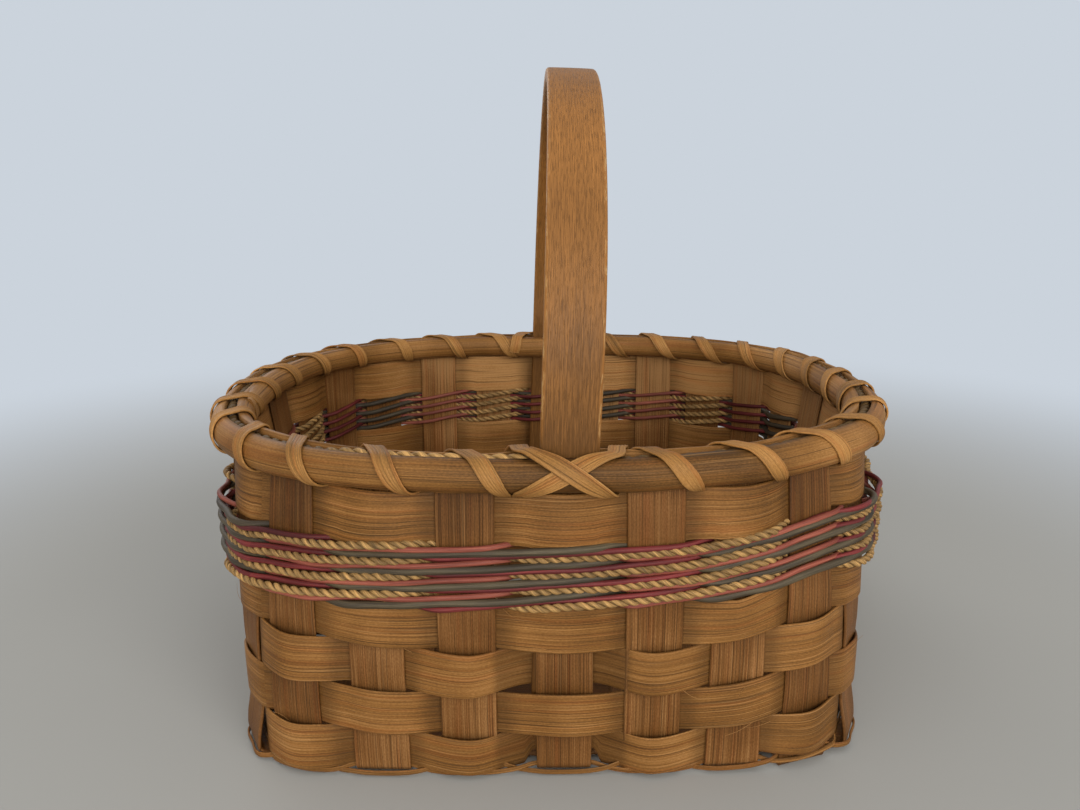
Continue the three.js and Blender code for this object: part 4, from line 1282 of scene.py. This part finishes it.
class Recipe:
    """Builds the nodes of one finish, or of the room's light."""

    def __init__(self, owner):
        owner.use_nodes = True
        self.owner = owner
        self.tree = owner.node_tree

    def node(self, kind, settings=None, inputs=None, output=0):
        node = self.tree.nodes.new(kind)
        for key, value in (settings or {}).items():
            if key == "stops":
                ramp = node.color_ramp
                while len(ramp.elements) < len(value):
                    ramp.elements.new(1)
                for element, (position, shade) in zip(ramp.elements, value):
                    element.position = position
                    element.color = (*shade, 1)
            else:
                setattr(node, key, value)
        return self.fill(node, inputs or {}, output)

    def fill(self, node, inputs, output=0):
        """Sets and links a node's sockets. A colour of three parts gets its alpha here."""
        for key, value in inputs.items():
            socket = node.inputs[key]
            if isinstance(value, Value):
                self.tree.links.new(value.socket, socket)
            elif socket.type == "RGBA":
                socket.default_value = (*value, 1)
            else:
                socket.default_value = value
        return Value(self, node.outputs[output]) if node.outputs else None

    def place(self):
        return self.node("ShaderNodeTexCoord", output="Object")

    def seen(self):
        """1 where the camera looks straight at it, and 0 in its light and reflections."""
        return self.node("ShaderNodeLightPath", output="Is Camera Ray")

    def mesh_attribute(self, name):
        return self.node("ShaderNodeAttribute", {"attribute_name": name}, output="Fac")

    def noise(self, vector, scale=1.0, detail=2.0, roughness=0.5, distortion=0.0):
        inputs = {"Vector": vector, "Scale": scale, "Detail": detail, "Roughness": roughness,
                  "Distortion": distortion}
        return self.node("ShaderNodeTexNoise", None, inputs)

    def lines(self, along, across, **settings):
        """Noise in long lines, from its scale along the strip and across it."""
        strip = self.node("ShaderNodeUVMap", {"uv_map": "strip"})
        stretched = self.node("ShaderNodeVectorMath", {"operation": "MULTIPLY"},
                              {0: strip, 1: (along, across, 1)})
        return self.noise(stretched, **settings)

    def mix(self, factor, a, b, blend="MIX"):
        settings = {"data_type": "RGBA", "blend_type": blend}
        return self.node("ShaderNodeMix", settings, {0: factor, 6: a, 7: b}, 2)

    def shades(self, level, stops):
        """Colours for a level, near 0.5 on average, that the piece's tone moves up or down; that
        tone holds chance unevenness and painted light and shade.
        """
        level = level + self.mesh_attribute("tone") * 1.5
        return self.node("ShaderNodeValToRGB", {"stops": stops}, {0: level})

    def finish(self, shades, rough, specular, height=None, depth=0.0):
        """The finished material; its bumps are given by their height and their depth in mm."""
        inputs = {"Base Color": shades, "Roughness": rough, "Specular IOR Level": specular}
        if height:
            bump = {"Height": height, "Distance": depth * mm, "Strength": 1.0}
            inputs["Normal"] = self.node("ShaderNodeBump", None, bump)
        self.fill(self.tree.nodes["Principled BSDF"], inputs)
        return self.owner

    def blend(self, output, share, usual, other):
        """Sends the output a share of another shader in place of the usual one."""
        usual = Value(self, self.tree.nodes[usual].outputs[0])
        mixed = self.node("ShaderNodeMixShader", None, {0: share, 1: usual, 2: other})
        self.fill(self.tree.nodes[output], {0: mixed})


def darker(tone, share):
    """A stain made darker, with a share under 1, or lighter."""
    return tuple(min(part * share, 1) for part in tone)


def faded(tone, share, pale):
    """A stain made lighter and part of the way to bare straw."""
    straw = stain(208, 166, 113)
    return tuple(min(a * share * (1 - pale) + b * pale, 1) for a, b in zip(tone, straw))


def splint_finish(name, tone, fibre_step=0.5, contrast=1.0, streaks=1.0):
    """Stained splint: long fine fibres, dark hairlines, redder streaks and a slight sheen."""
    recipe = Recipe(bpy.data.materials.new(name))
    across = 1 / (fibre_step * mm)
    fibre = recipe.lines(6, across, detail=5, roughness=0.72)
    streak = recipe.lines(4, across / 3.5, detail=3, roughness=0.6)
    broad = recipe.lines(7, across / 16)
    red = recipe.lines(9, across / 6, detail=3).clamp(0.49, 0.67)
    blotch = recipe.noise(recipe.place(), scale=34, detail=3)
    speck = recipe.lines(900, across * 1.2)
    line = recipe.lines(10, across * 0.7).clamp(0.58, 0.66)
    hair = recipe.lines(13, across * 0.8).clamp(0.60, 0.68)
    level = (
        0.5 + (fibre - 0.5) * 1.5 * contrast + (streak - 0.5) * 0.35 * streaks
        + (broad - 0.5) * 0.3 * streaks + (blotch - 0.5) * 0.65 + (speck - 0.5) * 0.5
    )
    shades = recipe.shades(level, [
        (0.10, darker(tone, 0.34)), (0.34, darker(tone, 0.70)), (0.52, tone),
        (0.72, faded(tone, 1.22, 0.11)), (0.95, faded(tone, 1.55, 0.34)),
    ])
    shades = recipe.mix(red * 0.42, shades, (0.94, 0.66, 0.52), "MULTIPLY")
    shades = recipe.mix(line * 0.65, shades, darker(tone, 0.30))
    shades = recipe.mix(hair * 0.45 * streaks, shades, faded(tone, 1.6, 0.45))
    # Painted shade where the splint is hidden under other pieces or pressed against them
    shades = recipe.mix(recipe.mesh_attribute("crease") * 0.5, shades, darker(tone, 0.25))
    rough = 0.52 + (fibre - 0.5) * 0.25 + (blotch - 0.5) * 0.2
    return recipe.finish(shades, rough, 0.16, fibre * 1.2 + streak * 0.3 - line * 0.6, 0.14)


def hardwood_finish(name, tone):
    """Smooth bent hardwood: soft figure, fine short pores, and paler edges with pale chips, partly
    rubbed wear and partly a painted highlight.
    """
    recipe = Recipe(bpy.data.materials.new(name))
    figure = recipe.lines(7, 150, detail=3, distortion=0.4)
    fine = recipe.lines(60, 2100, detail=3, roughness=0.7)
    blotch = recipe.noise(recipe.place(), scale=22, detail=4)
    pore = recipe.lines(190, 3000).clamp(0.55, 0.62)
    chip = recipe.lines(120, 900, detail=3, roughness=0.7).clamp(0.53, 0.60)
    level = 0.5 + (figure - 0.5) * 0.25 + (fine - 0.5) * 1.0 + (blotch - 0.5) * 0.45
    shades = recipe.shades(level, [
        (0.12, darker(tone, 0.42)), (0.38, darker(tone, 0.80)), (0.55, tone),
        (0.85, darker(tone, 1.5)),
    ])
    shades = recipe.mix(pore * 0.55, shades, darker(tone, 0.36))
    # Paler edges: partly rubbed wear and partly a painted highlight
    shades = recipe.mix(recipe.mesh_attribute("crease") * 0.35, shades, darker(tone, 1.9))
    shades = recipe.mix(recipe.mesh_attribute("crease") * chip * 0.8, shades, (0.50, 0.31, 0.13))
    rough = 0.46 + (fine - 0.5) * 0.25 + (blotch - 0.5) * 0.2
    return recipe.finish(shades, rough, 0.18, fine * 0.4 - pore * 0.7, 0.07)


def reed_finish(name, tone, rubbed_and_highlit_tone):
    """Dyed round reed: fine fibres along it, and paler patches along it, partly dye rubbed paler
    and partly a painted highlight.
    """
    recipe = Recipe(bpy.data.materials.new(name))
    fibre = recipe.lines(60, 3600, detail=3, roughness=0.6)
    patch = recipe.lines(22, 260, detail=3)
    level = 0.5 + (fibre - 0.5) * 1.1 + (patch - 0.5) * 1.0
    shades = recipe.shades(level, [
        (0.15, darker(tone, 0.42)), (0.45, tone), (0.68, rubbed_and_highlit_tone),
        (0.95, darker(rubbed_and_highlit_tone, 1.5)),
    ])
    # Painted shade where the strand passes behind an upright
    shades = recipe.mix(recipe.mesh_attribute("crease") * 0.4, shades, darker(tone, 0.35))
    return recipe.finish(shades, 0.55 + (fibre - 0.5) * 0.25, 0.3, fibre, 0.12)


def seagrass_finish(name, tone):
    """Twisted seagrass: coarse blades along each ply, and painted shade in the grooves between the
    plies.
    """
    recipe = Recipe(bpy.data.materials.new(name))
    blade = recipe.lines(90, 2600, detail=3, roughness=0.6)
    patch = recipe.lines(60, 420, detail=3)
    level = 0.5 + (blade - 0.5) * 1.4 + (patch - 0.5) * 1.1
    shades = recipe.shades(level, [
        (0.12, darker(tone, 0.30)), (0.40, darker(tone, 0.75)), (0.55, tone),
        (0.78, darker(tone, 1.75)),
    ])
    shades = recipe.mix(recipe.mesh_attribute("crease") * 0.75, shades, darker(tone, 0.20))
    return recipe.finish(shades, 0.6, 0.3, blade, 0.25)


def paper_finish(name, floor_tone, wall_tone):
    """Plain paper floor that fades into the backdrop's even tone away from the basket."""
    recipe = Recipe(bpy.data.materials.new(name))
    place = recipe.place()
    away = recipe.node("ShaderNodeVectorMath", {"operation": "LENGTH"}, {0: place}, "Value")
    cloud = recipe.noise(place, scale=4)
    recipe.finish(recipe.mix(cloud * 0.3, floor_tone, darker(floor_tone, 0.8)), 0.85, 0.1)
    glow = recipe.node("ShaderNodeEmission", None, {"Color": wall_tone})
    share = away.clamp(0.27, 0.85) * recipe.seen()
    recipe.blend("Material Output", share, "Principled BSDF", glow)
    return recipe.owner


# Stage: the floor, the light and the camera


def build_floor(finish):
    """Wide flat floor under the basket."""
    mesh = bpy.data.meshes.new("floor")
    corners = [(x * FLOOR_HALF, y * FLOOR_HALF, 0) for x, y in ((-1, -1), (1, -1), (1, 1), (-1, 1))]
    mesh.from_pydata(corners, [], [(0, 1, 2, 3)])
    mesh.materials.append(finish)
    floor = bpy.data.objects.new("floor", mesh)
    bpy.context.scene.collection.objects.link(floor)


def build_lamps(scene, wall_tone):
    """Even room light and the soft lamps. The camera sees the backdrop's tone in its place."""
    world = bpy.data.worlds.new("room")
    recipe = Recipe(world)
    recipe.fill(recipe.tree.nodes["Background"], {"Color": COOL, "Strength": ROOM_STRENGTH})
    wall = recipe.node("ShaderNodeBackground", None, {"Color": wall_tone})
    recipe.blend("World Output", recipe.seen(), "Background", wall)
    scene.world = world
    for name, (place, size, power, tint) in LAMPS.items():
        data = bpy.data.lights.new(name, "AREA")
        data.shape = "DISK"
        data.size = size
        data.energy = power
        data.color = tint
        lamp = bpy.data.objects.new(name, data)
        lamp.location = place
        aim = Vector(LAMP_TARGET) - Vector(place)
        lamp.rotation_euler = aim.to_track_quat("-Z", "Y").to_euler()
        lamp.visible_camera = False
        scene.collection.objects.link(lamp)


def build_camera(scene):
    """Camera from which the photograph's frame was matched."""
    data = bpy.data.cameras.new("camera")
    data.sensor_fit = "HORIZONTAL"
    data.sensor_width = SENSOR_WIDTH
    data.lens = SENSOR_WIDTH * FOCAL_PIXELS / PHOTO_WIDTH
    camera = bpy.data.objects.new("camera", data)
    level = Vector((math.sin(CAMERA_YAW), math.cos(CAMERA_YAW), 0))
    forward = level * math.cos(CAMERA_PITCH) - Vector(UP) * math.sin(CAMERA_PITCH)
    right = Vector((level.y, -level.x, 0))
    up = right.cross(forward)
    cosine, sine = math.cos(CAMERA_ROLL), math.sin(CAMERA_ROLL)
    right, up = right * cosine + up * sine, up * cosine - right * sine
    matrix = Matrix((right, up, -forward)).transposed().to_4x4()
    matrix.translation = CAMERA_PLACE
    camera.matrix_world = matrix
    scene.collection.objects.link(camera)
    scene.camera = camera
    scene.view_settings.view_transform = "Standard"


# Operators: each adds one piece or one group of like pieces


class BASKET_OT_stage(bpy.types.Operator):
    """Adds the paper floor and backdrop, the soft lamps and the camera"""

    bl_idname = "basket.stage"
    bl_label = "Stage"

    def execute(self, context):
        wall_tone = stained(context, "backdrop")
        build_floor(paper_finish("paper", stained(context, "floor"), wall_tone))
        build_lamps(context.scene, wall_tone)
        build_camera(context.scene)
        return {"FINISHED"}


class BASKET_OT_stakes(bpy.types.Operator):
    """Adds the uprights and the plaited base: fourteen splints"""

    bl_idname = "basket.stakes"
    bl_label = "Stakes and base"

    def execute(self, context):
        weave = Weave(context.scene)
        tone = stained(context, "stake")
        finish = splint_finish("stake splint", tone, fibre_step=0.45, contrast=1.05, streaks=0.5)
        for n, strip in enumerate(stake_strips(weave)):
            build_stake(weave, strip, finish, SEEDS["stakes"] + 10 * n)
        return {"FINISHED"}


class BASKET_OT_weavers(bpy.types.Operator):
    """Adds the woven rows of the wall, the narrow row at the rim, the twining and loose fibres"""

    bl_idname = "basket.weavers"
    bl_label = "Weavers"

    def execute(self, context):
        weave = Weave(context.scene)
        finish = splint_finish("weaver splint", stained(context, "weaver"), streaks=0.8)
        build_rows(weave, finish)
        build_loose_fibres(weave, finish)
        build_foot_twining(weave, finish)
        return {"FINISHED"}


class BASKET_OT_waling(bpy.types.Operator):
    """Adds the coloured band: four rows of four strands"""

    bl_idname = "basket.waling"
    bl_label = "Waled band"

    def execute(self, context):
        weave = Weave(context.scene)
        band = weave.band
        # Each strand's colour, its diameter, its paler tone, partly rubbed dye and partly a painted
        # highlight, and its share of the right rise
        reeds = (
            ("olive", band.thick_reed, stain(88, 77, 56), 0.55),
            ("burgundy", band.thin_reed, stain(122, 46, 43), 1),
            ("seagrass", band.rope, None, 0.55),
            ("pink", band.thin_reed, stain(154, 86, 66), 0.55),
        )
        strands = []
        for n, (name, diameter, rubbed_and_highlit, rise) in enumerate(reeds):
            tone = stained(context, name)
            if rubbed_and_highlit:
                slot, finish = f"{name}_reed", reed_finish(f"{name} reed", tone, rubbed_and_highlit)
            else:
                slot, finish = name, seagrass_finish(f"band {name}", tone)
            strands.append({"name": name, "behind": n + 1, "diameter": diameter, "rise": rise,
                            "slot": slot, "finish": finish})
        for row in range(1, WALE_ROWS + 1):
            for n, strand in enumerate(strands):
                build_waling(weave, row, strand, SEEDS["waling"] + 40 * row + 10 * n)
        return {"FINISHED"}


class BASKET_OT_hoops(bpy.types.Operator):
    """Adds the two half-round rim hoops"""

    bl_idname = "basket.hoops"
    bl_label = "Rim hoops"

    def execute(self, context):
        weave = Weave(context.scene)
        finish = splint_finish("rim half-round", stained(context, "rim"), contrast=0.65,
                               streaks=0.5)
        build_hoop(weave, "rim_hoop_outer", 1, finish, SEEDS["hoops"], 12.2)
        build_hoop(weave, "rim_hoop_inner", -1, finish, SEEDS["hoops"] + 20, 25.1)
        return {"FINISHED"}


class BASKET_OT_filler(bpy.types.Operator):
    """Adds the seagrass rope between the hoops, which stops at the handle"""

    bl_idname = "basket.filler"
    bl_label = "Rim filler"

    def execute(self, context):
        weave = Weave(context.scene)
        finish = seagrass_finish("rim seagrass", stained(context, "seagrass"))
        front, back = weave.handle_edges(FRONT_CENTRE), weave.handle_edges(BACK_CENTRE)
        room, seed = 0.03, SEEDS["filler"]
        build_filler(weave, "rim_filler_right", front[1] + room, back[0] - room, finish, seed)
        build_filler(weave, "rim_filler_left", back[1] + room, front[0] + UPRIGHTS - room, finish,
                     seed + 10)
        return {"FINISHED"}


class BASKET_OT_lashing(bpy.types.Operator):
    """Adds the lashing round the rim and its crosses over the handle's uprights"""

    bl_idname = "basket.lashing"
    bl_label = "Lashing"

    def execute(self, context):
        weave = Weave(context.scene)
        finish = splint_finish("lashing splint", stained(context, "lashing"), contrast=0.8,
                               streaks=0.6)
        seed = SEEDS["lashing"]
        build_lashing(weave, "lashing_right", "lashing_cross_front", FRONT_CENTRE, finish, seed)
        build_lashing(weave, "lashing_left", "lashing_cross_back", BACK_CENTRE, finish, seed + 20)
        return {"FINISHED"}


class BASKET_OT_handle(bpy.types.Operator):
    """Adds the bent hardwood hoop"""

    bl_idname = "basket.handle"
    bl_label = "Hoop handle"

    def execute(self, context):
        finish = hardwood_finish("handle hardwood", stained(context, "handle"))
        build_handle(Weave(context.scene), finish)
        return {"FINISHED"}


class BASKET_PT_panel(bpy.types.Panel):
    """Lists the basket's steps and sizes"""

    bl_idname = "BASKET_PT_panel"
    bl_label = "Gathering basket"
    bl_space_type = "VIEW_3D"
    bl_region_type = "UI"
    bl_category = "Basket"

    def draw(self, context):
        for operator in OPERATORS:
            self.layout.operator(operator.bl_idname)
        for label in GROUPS:
            box = self.layout.box()
            group = getattr(context.scene, label)
            for name in group.__annotations__:
                box.prop(group, name)


GROUPS = {
    "basket_splint": SplintSizes,
    "basket_wall": WallSizes,
    "basket_band": BandSizes,
    "basket_rim": RimSizes,
    "basket_handle": HandleSizes,
    "basket_stains": Stains,
}
OPERATORS = (
    BASKET_OT_stage,
    BASKET_OT_stakes,
    BASKET_OT_weavers,
    BASKET_OT_waling,
    BASKET_OT_hoops,
    BASKET_OT_filler,
    BASKET_OT_lashing,
    BASKET_OT_handle,
)


def register():
    for cls in (*GROUPS.values(), *OPERATORS, BASKET_PT_panel):
        bpy.utils.register_class(cls)
    for label, group in GROUPS.items():
        setattr(bpy.types.Scene, label, bpy.props.PointerProperty(type=group))


def unregister():
    for label in GROUPS:
        delattr(bpy.types.Scene, label)
    for cls in (BASKET_PT_panel, *reversed(OPERATORS), *reversed(GROUPS.values())):
        bpy.utils.unregister_class(cls)


def main():
    register()
    for operator in OPERATORS:
        package, name = operator.bl_idname.split(".")
        getattr(getattr(bpy.ops, package), name)()


if __name__ == "__main__":
    main()
